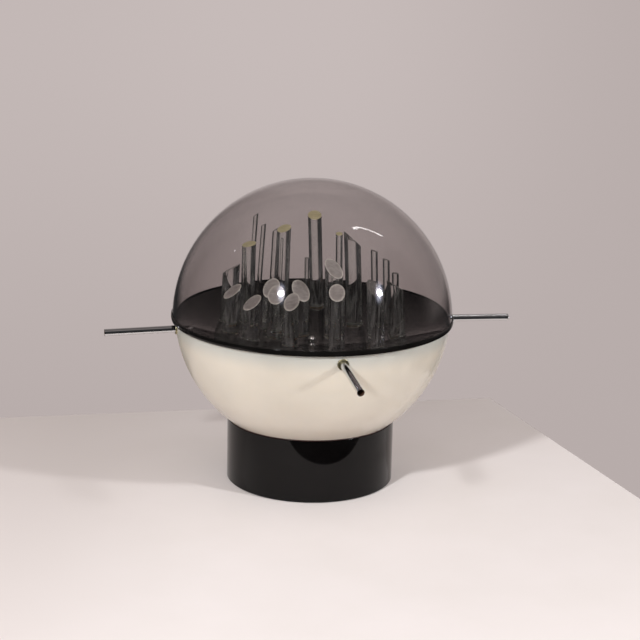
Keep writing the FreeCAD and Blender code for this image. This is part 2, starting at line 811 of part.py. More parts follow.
os.makedirs("parts", exist_ok=True)
for name, shape in nodes().items():
    shape.exportStep("parts/%s.step" % name)
    print(name, len(shape.Solids), round(shape.Volume, 1), shape.isValid())
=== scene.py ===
"""Sculptural table lamp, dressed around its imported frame.

Metres, +Z up, origin on the table under the middle of the drum; the front of the lamp faces -Y.
"""

import json
import logging
import math
from abc import ABC, abstractmethod
from collections.abc import Callable
from dataclasses import dataclass, field
from enum import Enum
from functools import cache

import bmesh
import bpy
import numpy as np
from mathutils import Matrix, Quaternion, Vector

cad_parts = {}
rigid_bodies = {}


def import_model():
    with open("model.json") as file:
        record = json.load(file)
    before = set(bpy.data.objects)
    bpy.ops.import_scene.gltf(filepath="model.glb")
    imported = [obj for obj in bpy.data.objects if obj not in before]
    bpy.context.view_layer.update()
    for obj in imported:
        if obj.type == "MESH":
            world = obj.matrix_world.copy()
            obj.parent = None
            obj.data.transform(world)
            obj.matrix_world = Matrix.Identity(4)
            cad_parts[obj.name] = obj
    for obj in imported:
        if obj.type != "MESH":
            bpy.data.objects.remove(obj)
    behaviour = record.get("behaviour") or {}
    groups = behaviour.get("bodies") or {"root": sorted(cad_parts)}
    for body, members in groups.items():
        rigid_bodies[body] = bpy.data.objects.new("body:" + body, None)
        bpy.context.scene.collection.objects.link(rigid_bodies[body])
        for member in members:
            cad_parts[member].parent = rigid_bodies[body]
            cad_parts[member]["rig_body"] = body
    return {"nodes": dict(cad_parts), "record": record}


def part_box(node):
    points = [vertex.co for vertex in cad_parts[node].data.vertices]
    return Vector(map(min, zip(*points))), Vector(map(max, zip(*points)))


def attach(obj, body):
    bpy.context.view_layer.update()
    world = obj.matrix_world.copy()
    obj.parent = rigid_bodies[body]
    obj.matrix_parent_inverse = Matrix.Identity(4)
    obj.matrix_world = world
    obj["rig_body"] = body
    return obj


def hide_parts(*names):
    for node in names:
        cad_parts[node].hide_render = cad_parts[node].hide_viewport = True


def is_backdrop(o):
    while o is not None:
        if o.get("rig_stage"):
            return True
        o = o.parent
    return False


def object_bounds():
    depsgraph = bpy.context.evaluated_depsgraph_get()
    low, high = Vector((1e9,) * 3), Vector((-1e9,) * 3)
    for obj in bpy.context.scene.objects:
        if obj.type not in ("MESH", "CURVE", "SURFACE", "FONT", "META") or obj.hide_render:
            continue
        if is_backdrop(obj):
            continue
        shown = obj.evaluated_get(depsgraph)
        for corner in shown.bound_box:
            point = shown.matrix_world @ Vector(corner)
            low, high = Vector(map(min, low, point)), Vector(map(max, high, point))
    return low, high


for default_object in list(bpy.data.objects):
    bpy.data.objects.remove(default_object)
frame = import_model()
cad_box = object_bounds()

log = logging.getLogger("lamp")
MM = 0.001
UP = Vector((0.0, 0.0, 1.0))
ROUND_STEPS = 192       # facets round the big turned pieces
FINE_STEPS = 96         # facets round the glass rods and small turned pieces
HOLE_STEPS = 48         # facets round the holes in bowl and drum
ROUNDING_STEPS = 4      # straight steps along a rounded corner
NOTHING = 1e-7          # metres, below which a length counts as none
MIDDLE = {"From Min": 0.3, "From Max": 0.7}     # range that holds nearly all of a noise's values
AIM = Vector((0.0, 0.0, 0.240))     # point that the camera and the studio's lamps look at
Point2 = tuple[float, float]
Shader = bpy.types.NodeSocket


# Nodes and colours

def hex_colour(code: str) -> tuple[float, float, float, float]:
    """Turn an sRGB hex value into a linear colour.

    Args:
        code: Colour such as "#C8B9AA".

    Returns:
        Red, green, blue and alpha as Blender's shader sockets take them.
    """
    channels = [int(code[k:k + 2], 16) / 255 for k in (1, 3, 5)]
    linear = [c / 12.92 if c <= 0.04045 else ((c + 0.055) / 1.055) ** 2.4 for c in channels]
    return (linear[0], linear[1], linear[2], 1.0)


def add_node(tree: bpy.types.NodeTree, kind: str, inputs: dict | None = None, **settings) -> bpy.types.Node:
    """Add one node to a tree.

    Args:
        tree: Node tree to add to.
        kind: Blender's name for the node type.
        inputs: Values or output sockets by input name or index.
        **settings: Properties of the node itself.

    Returns:
        The new node.
    """
    node = tree.nodes.new(kind)
    for name, value in settings.items():
        setattr(node, name, value)
    for key, value in (inputs or {}).items():
        if isinstance(value, bpy.types.NodeSocket):
            tree.links.new(value, node.inputs[key])
        else:
            node.inputs[key].default_value = value
    return node


def per_metre(size_mm: float) -> float:
    """Texture scale at which one feature measures this many millimetres."""
    return 1.0 / (size_mm * MM)


def clouds(tree: bpy.types.NodeTree, place: Shader, size_mm: float, detail: float = 2.0) -> Shader:
    """Draw soft clouds.

    Args:
        tree: Node tree to draw in.
        place: Coordinates in metres.
        size_mm: Size of a cloud in millimetres.
        detail: Octaves of finer clouds.

    Returns:
        The output that goes from 0 between the clouds to 1 inside them.
    """
    inputs = {"Vector": place, "Scale": per_metre(size_mm), "Detail": detail}
    noise = add_node(tree, "ShaderNodeTexNoise", inputs).outputs["Fac"]
    return add_node(tree, "ShaderNodeMapRange", {"Value": noise, **MIDDLE}).outputs["Result"]


def relief(tree: bpy.types.NodeTree, place: Shader, size_mm: float, depth_mm: float,
           detail: float = 2.0) -> Shader:
    """Draw an uneven surface.

    Args:
        tree: Node tree to draw in.
        place: Coordinates in metres.
        size_mm: Size of its bumps in millimetres.
        depth_mm: Their depth in millimetres.
        detail: Octaves of finer bumps.

    Returns:
        The bent normal's output.
    """
    inputs = {"Vector": place, "Scale": per_metre(size_mm), "Detail": detail}
    height = add_node(tree, "ShaderNodeTexNoise", inputs).outputs["Fac"]
    return add_node(tree, "ShaderNodeBump", {"Height": height, "Distance": depth_mm * MM}).outputs["Normal"]


def lay_tone(tree: bpy.types.NodeTree, under: Shader | tuple, tone: Shader | tuple, along: Shader,
             start: float, end: float) -> Shader:
    """Lay a tone over a colour, coming in softly as a value goes from start to end.

    Args:
        tree: Node tree to draw in.
        under: Colour up to the start.
        tone: Colour from the end on.
        along: The value's output.
        start: Value at which the tone begins to show; it may be more than the end.
        end: Value from which only the tone shows.

    Returns:
        The colour's output.
    """
    change = {"Value": along, "From Min": start, "From Max": end}
    share = add_node(tree, "ShaderNodeMapRange", change, interpolation_type="SMOOTHSTEP").outputs["Result"]
    return add_node(tree, "ShaderNodeMix", {0: share, 6: under, 7: tone}, data_type="RGBA").outputs[2]


# Finishes

@dataclass(frozen=True)
class Finish(ABC):
    """One real surface finish, made into a Blender material once."""

    title: str

    @cache
    def material(self) -> bpy.types.Material:
        """Make the finish's material, at the first call only.

        Returns:
            The material.
        """
        made = bpy.data.materials.new(self.title)
        made.use_nodes = True
        made.node_tree.nodes.clear()
        place = add_node(made.node_tree, "ShaderNodeTexCoord").outputs["Object"]
        ends = {"Surface": self.shade(made.node_tree, place)}
        body = self.fill(made.node_tree)
        if body is not None:
            ends["Volume"] = body
        add_node(made.node_tree, "ShaderNodeOutputMaterial", ends)
        return made

    @abstractmethod
    def shade(self, tree: bpy.types.NodeTree, place: Shader) -> Shader:
        """Draw the finish.

        Args:
            tree: The material's node tree.
            place: Object coordinates in metres.

        Returns:
            The surface shader's output.
        """

    def fill(self, tree: bpy.types.NodeTree) -> Shader | None:
        """Draw what fills the body.

        Args:
            tree: The material's node tree.

        Returns:
            The volume shader's output, or None for a body that needs none.
        """
        return None


@dataclass(frozen=True)
class StovedEnamel(Finish):
    """Black enamel stoved on spun metal: deep wet gloss, and orange peel that bends straight reflections."""

    colour: str = "#0B0A09"
    worn: str = "#121110"
    peel_mm: float = 6.0
    peel_depth_mm: float = 0.003
    film_mm: float = 35.0        # clouds in the film of dust and wax
    film_haze: float = 0.03      # roughness that the film adds
    roughness: float = 0.02
    specular: float = 0.3        # matched to the photograph; a clean surface has 0.5

    def shade(self, tree: bpy.types.NodeTree, place: Shader) -> Shader:
        """Draw orange peel, faint dust film and uneven gloss.

        Args:
            tree: The material's node tree.
            place: Object coordinates in metres.

        Returns:
            The surface shader's output.
        """
        film = clouds(tree, place, self.film_mm, 5.0)
        dusty = {0: film, 6: hex_colour(self.colour), 7: hex_colour(self.worn)}
        gloss = {"Value": film, "To Min": self.roughness, "To Max": self.roughness + self.film_haze}
        inputs = {
            "Base Color": add_node(tree, "ShaderNodeMix", dusty, data_type="RGBA").outputs[2],
            "Roughness": add_node(tree, "ShaderNodeMapRange", gloss).outputs["Result"],
            "IOR": 1.5,
            "Specular IOR Level": self.specular,
            "Normal": relief(tree, place, self.peel_mm, self.peel_depth_mm),
        }
        return add_node(tree, "ShaderNodeBsdfPrincipled", inputs).outputs["BSDF"]


@dataclass(frozen=True)
class OpalGlass(Finish):
    """Blown opal glass: milky all through under a soft gloss and cream, with a painted glow of table light
    low down and painted shade, greyer, under the dish at its rim.
    """

    low: str = "#DED6C9"         # painted glow of light bounced up from the table
    cream: str = "#DAD3C5"
    # painted shade under the dish: greyer at the rim
    rim: str = "#BFC0B9"
    cloud: str = "#F7F7F7"       # how far a cloud darkens the milk
    painted_glow_levels: Point2 = (0.100, 0.165)      # metres above the table
    rim_shade_levels: Point2 = (0.205, 0.234)
    cloud_mm: float = 70.0
    wave_mm: float = 45.0
    wave_depth_mm: float = 0.05
    scatter_mm: float = 6.0

    def shade(self, tree: bpy.types.NodeTree, place: Shader) -> Shader:
        """Draw the painted glow low down and the painted shade at the rim over the cream, faint clouding and
        an uneven surface.

        Args:
            tree: The material's node tree.
            place: Object coordinates in metres.

        Returns:
            The surface shader's output.
        """
        height = add_node(tree, "ShaderNodeSeparateXYZ", {0: place}).outputs["Z"]
        # painted glow of table light low down, the glass's own cream above it, painted shade under the dish
        # at the rim
        milk_and_painted_light = hex_colour(self.low)
        for tone, levels in ((self.cream, self.painted_glow_levels), (self.rim, self.rim_shade_levels)):
            milk_and_painted_light = lay_tone(tree, milk_and_painted_light, hex_colour(tone), height, *levels)
        cloudy = clouds(tree, place, self.cloud_mm, 3.0)
        veil = {0: cloudy, 6: hex_colour(self.cloud), 7: hex_colour("#FFFFFF")}
        veiled = {0: 1.0, 6: milk_and_painted_light, 7: add_node(tree, "ShaderNodeMix", veil, data_type="RGBA").outputs[2]}
        milk_and_painted_light = add_node(tree, "ShaderNodeMix", veiled, data_type="RGBA", blend_type="MULTIPLY").outputs[2]
        inputs = {
            "Base Color": milk_and_painted_light,
            "Roughness": 0.16,
            "IOR": 1.5,
            "Subsurface Weight": 0.35,
            "Subsurface Radius": (1.0, 0.85, 0.7),
            "Subsurface Scale": self.scatter_mm * MM,
            "Normal": relief(tree, place, self.wave_mm, self.wave_depth_mm),
        }
        return add_node(tree, "ShaderNodeBsdfPrincipled", inputs).outputs["BSDF"]


@dataclass(frozen=True)
class ClearFinish(Finish):
    """See-through material that also lets the lamps' light pass."""

    def let_light_through(self, tree: bpy.types.NodeTree, surface: Shader, clear: str) -> Shader:
        """Mix in a plain tinted passage for light on its way to other surfaces.

        Args:
            tree: The material's node tree.
            surface: The refracting surface shader.
            clear: Tint of one passage through the surface, as sRGB hex.

        Returns:
            The mixed shader's output.
        """
        path = add_node(tree, "ShaderNodeLightPath")
        rays = {0: path.outputs["Is Shadow Ray"], 1: path.outputs["Is Diffuse Ray"]}
        passing = add_node(tree, "ShaderNodeMath", rays, operation="MAXIMUM").outputs["Value"]
        through = add_node(tree, "ShaderNodeBsdfTransparent", {"Color": hex_colour(clear)}).outputs["BSDF"]
        return add_node(tree, "ShaderNodeMixShader", {0: passing, 1: surface, 2: through}).outputs["Shader"]


@dataclass(frozen=True)
class SmokedAcrylic(ClearFinish):
    """Blown smoked acrylic: grey-brown all through, so it darkens where the wall is thick or seen aslant."""

    smoke: str = "#AD9E9C"
    smoke_per_metre: float = 120.0

    def shade(self, tree: bpy.types.NodeTree, place: Shader) -> Shader:
        """Draw a hard clear gloss over a tinted body.

        Args:
            tree: The material's node tree.
            place: Object coordinates in metres; not used.

        Returns:
            The surface shader's output.
        """
        inputs = {
            "Base Color": hex_colour("#FFFFFF"),
            "Roughness": 0.0,
            "IOR": 1.49,
            "Transmission Weight": 1.0,
        }
        surface = add_node(tree, "ShaderNodeBsdfPrincipled", inputs).outputs["BSDF"]
        return self.let_light_through(tree, surface, "#F7F7F7")

    def fill(self, tree: bpy.types.NodeTree) -> Shader:
        """Draw the tint of the body. See Finish.fill."""
        inputs = {"Color": hex_colour(self.smoke), "Density": self.smoke_per_metre}
        return add_node(tree, "ShaderNodeVolumeAbsorption", inputs).outputs["Volume"]


@dataclass(frozen=True)
class RodGlass(ClearFinish):
    """Clear drawn rod: water-white, with faint draw lines that catch the light along its length."""

    colour: str = "#FAFBF9"
    line_mm: float = 5.0
    line_depth_mm: float = 0.002
    streak_mm: float = 1.5
    streak_range: Point2 = (0.48, 0.70)      # where in the noise a streak begins and is full
    dullness: float = 0.12       # share of a dull draw line that scatters
    stretch: float = 50.0        # how much longer than wide the lines are

    def shade(self, tree: bpy.types.NodeTree, place: Shader) -> Shader:
        """Draw clear glass with stretched draw lines.

        Args:
            tree: The material's node tree.
            place: Object coordinates in metres.

        Returns:
            The surface shader's output.
        """
        longer = {0: place, 1: (1.0, 1.0, 1.0 / self.stretch)}
        drawn = add_node(tree, "ShaderNodeVectorMath", longer, operation="MULTIPLY").outputs["Vector"]
        fine = {"Vector": drawn, "Scale": per_metre(self.streak_mm), "Detail": 3.0}
        streaks = add_node(tree, "ShaderNodeTexNoise", fine).outputs["Fac"]
        dull = {"Value": streaks, "From Min": self.streak_range[0], "From Max": self.streak_range[1],
                "To Min": 1.0, "To Max": 1.0 - self.dullness}
        inputs = {
            "Base Color": hex_colour(self.colour),
            "Roughness": 0.0,
            "IOR": 1.49,
            "Transmission Weight": add_node(tree, "ShaderNodeMapRange", dull).outputs["Result"],
            "Normal": relief(tree, drawn, self.line_mm, self.line_depth_mm, 1.0),
        }
        surface = add_node(tree, "ShaderNodeBsdfPrincipled", inputs).outputs["BSDF"]
        return self.let_light_through(tree, surface, "#F2F3F1")


@dataclass(frozen=True)
class GroundGlass(Finish):
    """Sawn and ground rod end: fine pits scatter the light, so the clear rod ends in a hazy grey disc."""

    colour: str = "#E9E3DD"
    scratch: str = "#BAB3AD"
    clearness: float = 0.55
    roughness: float = 0.4
    grain_mm: float = 0.8
    grain_depth_mm: float = 0.03
    saw_mm: float = 3.5
    saw_squeeze: float = 0.35    # of the pattern across the lamp, which makes its lines longer there

    def shade(self, tree: bpy.types.NodeTree, place: Shader) -> Shader:
        """Draw grinding grain and saw lines that run across the lamp.

        Args:
            tree: The material's node tree.
            place: Object coordinates in metres.

        Returns:
            The surface shader's output.
        """
        longer = {0: place, 1: (self.saw_squeeze, 1.0, 1.0)}
        sawn = add_node(tree, "ShaderNodeVectorMath", longer, operation="MULTIPLY").outputs["Vector"]
        lines = clouds(tree, sawn, self.saw_mm, 4.0)
        scratched = {0: lines, 6: hex_colour(self.colour), 7: hex_colour(self.scratch)}
        inputs = {
            "Base Color": add_node(tree, "ShaderNodeMix", scratched, data_type="RGBA").outputs[2],
            "Roughness": self.roughness,
            "IOR": 1.49,
            "Transmission Weight": self.clearness,
            "Normal": relief(tree, place, self.grain_mm, self.grain_depth_mm, 4.0),
        }
        return add_node(tree, "ShaderNodeBsdfPrincipled", inputs).outputs["BSDF"]


@dataclass(frozen=True)
class PolishedMetal(Finish):
    """Plated or turned metal with fine polishing haze."""

    colour: str = "#D8D8D9"
    roughness: float = 0.05
    haze: float = 0.08
    grain_mm: float = 6.0
    grain_depth_mm: float = 0.002

    def shade(self, tree: bpy.types.NodeTree, place: Shader) -> Shader:
        """Draw bright metal with uneven haze.

        Args:
            tree: The material's node tree.
            place: Object coordinates in metres.

        Returns:
            The surface shader's output.
        """
        hazy = clouds(tree, place, self.grain_mm, 4.0)
        polish = {"Value": hazy, "To Min": self.roughness, "To Max": self.roughness + self.haze}
        inputs = {
            "Base Color": hex_colour(self.colour),
            "Metallic": 1.0,
            "Roughness": add_node(tree, "ShaderNodeMapRange", polish).outputs["Result"],
            "Normal": relief(tree, place, self.grain_mm, self.grain_depth_mm, 4.0),
        }
        return add_node(tree, "ShaderNodeBsdfPrincipled", inputs).outputs["BSDF"]


@dataclass(frozen=True)
class Moulding(Finish):
    """Moulded rubber or plastic with a fine texture from its mould."""

    colour: str = "#1A1A1A"
    aged: str = "#242322"
    roughness: float = 0.55
    patch_mm: float = 18.0
    patch_haze: float = 0.06     # roughness that a patch adds or takes
    grain_mm: float = 0.6
    depth_mm: float = 0.02

    def shade(self, tree: bpy.types.NodeTree, place: Shader) -> Shader:
        """Draw mould grain and slow colour change.

        Args:
            tree: The material's node tree.
            place: Object coordinates in metres.

        Returns:
            The surface shader's output.
        """
        patches = clouds(tree, place, self.patch_mm, 3.0)
        ageing = {0: patches, 6: hex_colour(self.colour), 7: hex_colour(self.aged)}
        low, high = self.roughness - self.patch_haze, self.roughness + self.patch_haze
        gloss = {"Value": patches, **MIDDLE, "To Min": low, "To Max": high}
        inputs = {
            "Base Color": add_node(tree, "ShaderNodeMix", ageing, data_type="RGBA").outputs[2],
            "Roughness": add_node(tree, "ShaderNodeMapRange", gloss).outputs["Result"],
            "IOR": 1.5,
            "Normal": relief(tree, place, self.grain_mm, self.depth_mm),
        }
        return add_node(tree, "ShaderNodeBsdfPrincipled", inputs).outputs["BSDF"]


@dataclass(frozen=True)
class SoftClear(ClearFinish):
    """Clear silicone: milky see-through rubber with a waxy sheen."""

    colour: str = "#C9CAC6"
    grain_mm: float = 1.5
    grain_depth_mm: float = 0.03

    def shade(self, tree: bpy.types.NodeTree, place: Shader) -> Shader:
        """Draw milky silicone.

        Args:
            tree: The material's node tree.
            place: Object coordinates in metres.

        Returns:
            The surface shader's output.
        """
        inputs = {
            "Base Color": hex_colour(self.colour),
            "Roughness": 0.12,
            "IOR": 1.41,
            "Transmission Weight": 0.9,
            "Normal": relief(tree, place, self.grain_mm, self.grain_depth_mm),
        }
        surface = add_node(tree, "ShaderNodeBsdfPrincipled", inputs).outputs["BSDF"]
        return self.let_light_through(tree, surface, "#B9BAB7")


class Finishes:
    """Every finish on the lamp."""

    enamel = StovedEnamel("black_stoved_enamel", roughness=0.03)
    drum_enamel = StovedEnamel("black_drum_lacquer", colour="#050404", worn="#0A0909", specular=0.23)
    vitrite = Moulding("bulb_cap_black_glass", colour="#121214", aged="#1B1A1C", roughness=0.2, grain_mm=1.2)
    nickel = PolishedMetal("nickel_plate", colour="#DCDAD6", roughness=0.2, haze=0.1, grain_mm=2.0)
    opal = OpalGlass("blown_opal_glass")
    smoke = SmokedAcrylic("blown_smoked_acrylic")
    rod = RodGlass("clear_drawn_rod")
    frost = GroundGlass("ground_rod_end")
    frost_rim = GroundGlass("ground_rod_rim", colour="#EEE9E0", scratch="#DBD5CB", clearness=0.2)
    sawn = GroundGlass("fire_polished_rod_end", colour="#DAD5CF", scratch="#C2BCB6", clearness=0.8,
                       roughness=0.2)
    # painted glow: light carried up the long rods, yellow from the acrylic's own tint over that long path,
    # painted on their ends
    painted_glow_end = GroundGlass("rod_end_painted_glow", colour="#E2D9AF", scratch="#C4BB8C", clearness=0.3)
    chrome = PolishedMetal("chrome_plate")
    brass = PolishedMetal("lacquered_brass", colour="#AFA684", roughness=0.34, haze=0.12)
    bore = Moulding("browned_tube_bore", colour="#6A4C3A", aged="#4A3428", roughness=0.4, grain_mm=3.0)
    zinc = PolishedMetal("zinc_plated_steel", colour="#B4B7BC", roughness=0.32, haze=0.16, grain_mm=2.5)
    plate = PolishedMetal("rolled_steel_plate", colour="#8E8F91", roughness=0.38, haze=0.14, grain_mm=4.0)
    black_rubber = Moulding("moulded_black_rubber", colour="#161615", aged="#201F1E", roughness=0.7)
    brown_rubber = Moulding("brown_rubber_seal", colour="#2C130E", aged="#3A1A13", roughness=0.6)
    black_nylon = Moulding("moulded_black_nylon", colour="#151516", aged="#1D1D1E", roughness=0.4)
    white_nylon = Moulding("moulded_white_nylon", colour="#E3DFD4", aged="#D8D3C5", roughness=0.42)
    holder = Moulding("pressed_lampholder_resin", colour="#E2DBC9", aged="#D5CDB8", roughness=0.35,
                      depth_mm=0.01)
    sleeve = Moulding("glass_fibre_sleeve", colour="#DAD5C8", aged="#C9C3B4", roughness=0.8, grain_mm=0.9,
                      depth_mm=0.15)
    bulb = Moulding("etched_bulb_glass", colour="#F3F1EA", aged="#EEEBE2", roughness=0.38, grain_mm=0.7,
                    depth_mm=0.004)
    silicone = SoftClear("cast_clear_silicone")


# Meshes

class Skin:
    """Faces of one piece under construction, each with exact corner normals and a finish."""

    def __init__(self) -> None:
        """Start with no faces."""
        self.points: list[Vector] = []
        self.faces: list[list[int]] = []
        self.normals: list[list[Vector]] = []
        self.finish_numbers: list[int] = []

    def ring(self, points: list[Vector]) -> list[int]:
        """Add points.

        Args:
            points: Places of the new points.

        Returns:
            The points' numbers.
        """
        first = len(self.points)
        self.points.extend(points)
        return list(range(first, len(self.points)))

    def face(self, corners: list[int], normals: list[Vector], finish_number: int = 0) -> None:
        """Add one face.

        Args:
            corners: Numbers of its corner points.
            normals: Normals at its corners.
            finish_number: Number of its finish.
        """
        self.faces.append(corners)
        self.normals.append(normals)
        self.finish_numbers.append(finish_number)

    def strip(self, low: list[int], high: list[int], low_normals: list[Vector], high_normals: list[Vector],
              finish_number: int = 0) -> None:
        """Join two closed rings, counterclockwise seen from the high side, with faces that look outward.

        Args:
            low: Lower ring, or one point.
            high: Higher ring, or one point.
            low_normals: Normals at the lower ring, one for each step round.
            high_normals: Normals at the higher ring, one for each step round.
            finish_number: Number of the faces' finish.
        """
        count = max(len(low), len(high))
        for k in range(count):
            n = (k + 1) % count
            corners = [low[k % len(low)], low[n % len(low)], high[n % len(high)], high[k % len(high)]]
            normals = [low_normals[k], low_normals[n], high_normals[n], high_normals[k]]
            if len(low) == 1:
                corners, normals = corners[1:], normals[1:]
            if len(high) == 1:
                corners, normals = corners[:3], normals[:3]
            self.face(corners, normals, finish_number)

    def piece(self, name: str, finishes: list[Finish]) -> bpy.types.Object:
        """Make the object.

        Args:
            name: The piece's name.
            finishes: Finishes by their numbers.

        Returns:
            The new object, linked to the scene.
        """
        mesh = bpy.data.meshes.new(name)
        mesh.from_pydata([tuple(p) for p in self.points], [], self.faces)
        for polygon, number in zip(mesh.polygons, self.finish_numbers):
            polygon.use_smooth = True
            polygon.material_index = number
        mesh.normals_split_custom_set([tuple(n) for corners in self.normals for n in corners])
        for finish in finishes:
            mesh.materials.append(finish.material())
        made = bpy.data.objects.new(name, mesh)
        bpy.context.scene.collection.objects.link(made)
        return made


@dataclass
class Side:
    """One side of an outline: straight, or round about a centre, in metres."""

    start: Vector
    end: Vector
    centre: Vector | None = None

    def normal(self, point: Vector) -> Vector:
        """Find the outward direction, for an outline walked with the solid on its left.

        Args:
            point: A point of the side.

        Returns:
            The direction there, one long.
        """
        step = self.end - self.start
        straight = Vector((step.y, -step.x)).normalized()
        if self.centre is None:
            return straight
        bulge = (point - self.centre).normalized()
        return bulge if bulge.dot(straight) > 0 else -bulge


@dataclass
class Outline:
    """Closed outline in the half plane (radius, level), walked with the solid on its left, in millimetres."""

    corners: list[Vector] = field(default_factory=list)
    roundings: list[float] = field(default_factory=list)
    centres: list[Vector | None] = field(default_factory=list)
    least_turn: float = 0.02     # radians, below which a corner needs no rounding
    most_share: float = 0.48     # of a side, that one rounding may take

    def corner(self, radius: float, level: float, rounding: float = 0.0) -> "Outline":
        """Add a corner that a straight side leaves.

        Args:
            radius: Its distance from the axis.
            level: Its height.
            rounding: Its rounding radius.

        Returns:
            The outline itself.
        """
        self.corners.append(Vector((radius, level)))
        self.roundings.append(rounding)
        self.centres.append(None)
        return self

    def bend(self, start: Point2, end: Point2, centre: Point2, steps: int,
             rounding: float = 0.0) -> "Outline":
        """Add an arc.

        Args:
            start: Where the arc starts.
            end: Where the arc ends; the next call adds this corner.
            centre: The arc's centre.
            steps: Straight steps along the arc.
            rounding: Rounding radius of the corner at the start.

        Returns:
            The outline itself.
        """
        middle = Vector(centre)
        first, last = Vector(start) - middle, Vector(end) - middle
        turn = first.angle_signed(last)
        for k in range(steps):
            arm = first.copy()
            arm.rotate(Matrix.Rotation(-turn * k / steps, 2))
            self.corners.append(middle + arm)
            self.roundings.append(rounding if k == 0 else 0.0)
            self.centres.append(middle)
        return self

    def sides(self) -> list[Side]:
        """Round the corners.

        Returns:
            The sides in metres, in order.
        """
        count = len(self.corners)
        trimmed = []
        for k in range(count):
            here, before, after = self.corners[k], self.corners[k - 1], self.corners[(k + 1) % count]
            into, out = (here - before).normalized(), (after - here).normalized()
            turn = into.angle(out)
            if self.roundings[k] == 0 or turn < self.least_turn:
                trimmed.append((here, here, None))
                continue
            room = self.most_share * min((here - before).length, (after - here).length)
            trim = min(self.roundings[k] * math.tan(turn / 2), room)
            radius = trim / math.tan(turn / 2)
            middle = here + (out - into).normalized() * (radius / math.cos(turn / 2))
            trimmed.append((here - into * trim, here + out * trim, middle))
        sides = []
        for k in range(count):
            start, end, middle = trimmed[k]
            if middle is not None:
                first, last = start - middle, end - middle
                turn = first.angle_signed(last)
                arms = []
                for step in range(ROUNDING_STEPS + 1):
                    arm = first.copy()
                    arm.rotate(Matrix.Rotation(-turn * step / ROUNDING_STEPS, 2))
                    arms.append(middle + arm)
                sides += [Side(a * MM, b * MM, middle * MM) for a, b in zip(arms, arms[1:])]
            following = trimmed[(k + 1) % count][0]
            centre = self.centres[k]
            sides.append(Side(end * MM, following * MM, centre * MM if centre else None))
        return [s for s in sides if (s.end - s.start).length > NOTHING]


class Turned:
    """A piece turned about an axis from an outline."""

    def __init__(self, outline: Outline, steps: int = ROUND_STEPS, place: Matrix | None = None) -> None:
        """Keep what the piece is turned from.

        Args:
            outline: Its outline.
            steps: Facets round it.
            place: Matrix from the lathe's axis to the lamp; the lamp's own axis without it.
        """
        self.sides = outline.sides()
        self.steps = steps
        self.place = place or Matrix.Identity(4)

    def piece(self, name: str, finishes: list[Finish],
              choose: Callable[[Side], int] | None = None) -> bpy.types.Object:
        """Turn the outline into a piece.

        Args:
            name: The piece's name.
            finishes: Finishes by their numbers.
            choose: Gives the number of a side's finish; all are number 0 without it.

        Returns:
            The new object.
        """
        skin = Skin()
        turn = self.place.to_3x3()
        angles = [2 * math.pi * k / self.steps for k in range(self.steps)]
        compass = [Vector((math.cos(a), math.sin(a), 0.0)) for a in angles]
        rings = {}
        for side in self.sides:
            for point in (side.start, side.end):
                key = (round(point.x, 8), round(point.y, 8))
                if key not in rings:
                    spokes = compass if point.x > NOTHING else compass[:1]
                    rings[key] = skin.ring([self.place @ (c * point.x + UP * point.y) for c in spokes])
        for side in self.sides:
            if side.start.x < NOTHING and side.end.x < NOTHING:
                continue
            low = rings[(round(side.start.x, 8), round(side.start.y, 8))]
            high = rings[(round(side.end.x, 8), round(side.end.y, 8))]
            normals = []
            for point in (side.start, side.end):
                flat = side.normal(point)
                normals.append([turn @ (c * flat.x + UP * flat.y) for c in compass])
            skin.strip(low, high, normals[0], normals[1], choose(side) if choose else 0)
        return skin.piece(name, finishes)

    def refit_normals(self, piece: bpy.types.Object) -> None:
        """Give a piece its exact normals again after cutting.

        Args:
            piece: The cut piece. Turned faces take their normals from the outline; cut faces are flat.
        """
        mesh = piece.data
        back = np.array(self.place.inverted())
        turn = np.array(self.place.to_3x3())
        count = len(mesh.polygons)
        centres, flats, owners = np.zeros(count * 3), np.zeros(count * 3), np.zeros(count, int)
        mesh.polygons.foreach_get("center", centres)
        mesh.polygons.foreach_get("normal", flats)
        mesh.polygons.foreach_get("loop_total", owners)
        points, corners = np.zeros(len(mesh.vertices) * 3), np.zeros(len(mesh.loops), int)
        mesh.vertices.foreach_get("co", points)
        mesh.loops.foreach_get("vertex_index", corners)
        centres, flats, points = (a.reshape(-1, 3) for a in (centres, flats, points))
        centres, points = (a @ back[:3, :3].T + back[:3, 3] for a in (centres, points))
        middles = np.column_stack((np.hypot(centres[:, 0], centres[:, 1]), centres[:, 2]))
        starts, ends = (np.array([getattr(s, end) for s in self.sides]) for end in ("start", "end"))
        steps = ends - starts
        arms = middles[:, None] - starts
        shares = np.clip((arms * steps).sum(2) / (steps ** 2).sum(1), 0.0, 1.0)
        gaps = np.linalg.norm(arms - shares[..., None] * steps, axis=2)
        nearest = gaps.argmin(1)
        straight = np.column_stack((steps[:, 1], -steps[:, 0]))
        straight /= np.linalg.norm(straight, axis=1)[:, None]
        bent = np.array([s.centre is not None for s in self.sides])
        hubs = np.array([s.centre if s.centre is not None else (0.0, 0.0) for s in self.sides])

        def outward(places: np.ndarray, side: np.ndarray) -> np.ndarray:
            """Find outward normals.

            Args:
                places: Places on the piece, in the lathe's frame.
                side: For each place, the number of its side of the outline.

            Returns:
                The normals in the lamp's frame.
            """
            out = np.hypot(places[:, 0], places[:, 1])
            spokes = places[:, :2] / np.maximum(out, 1e-9)[:, None]
            flat = straight[side]
            bulge = np.column_stack((out, places[:, 2])) - hubs[side]
            bulge /= np.linalg.norm(bulge, axis=1)[:, None]
            bulge *= np.sign((bulge * flat).sum(1))[:, None]
            flat = np.where(bent[side][:, None], bulge, flat)
            return np.column_stack((spokes * flat[:, :1], flat[:, 1])) @ turn.T

        near, aligned = 0.1 * MM, 0.9
        fits = (gaps.min(1) < near) & ((outward(centres, nearest) * flats).sum(1) > aligned)
        owner = np.repeat(np.arange(count), owners)
        normals = np.where(fits[owner][:, None], outward(points[corners], nearest[owner]), flats[owner])
        mesh.polygons.foreach_set("use_smooth", np.ones(count, bool))
        mesh.normals_split_custom_set(normals)


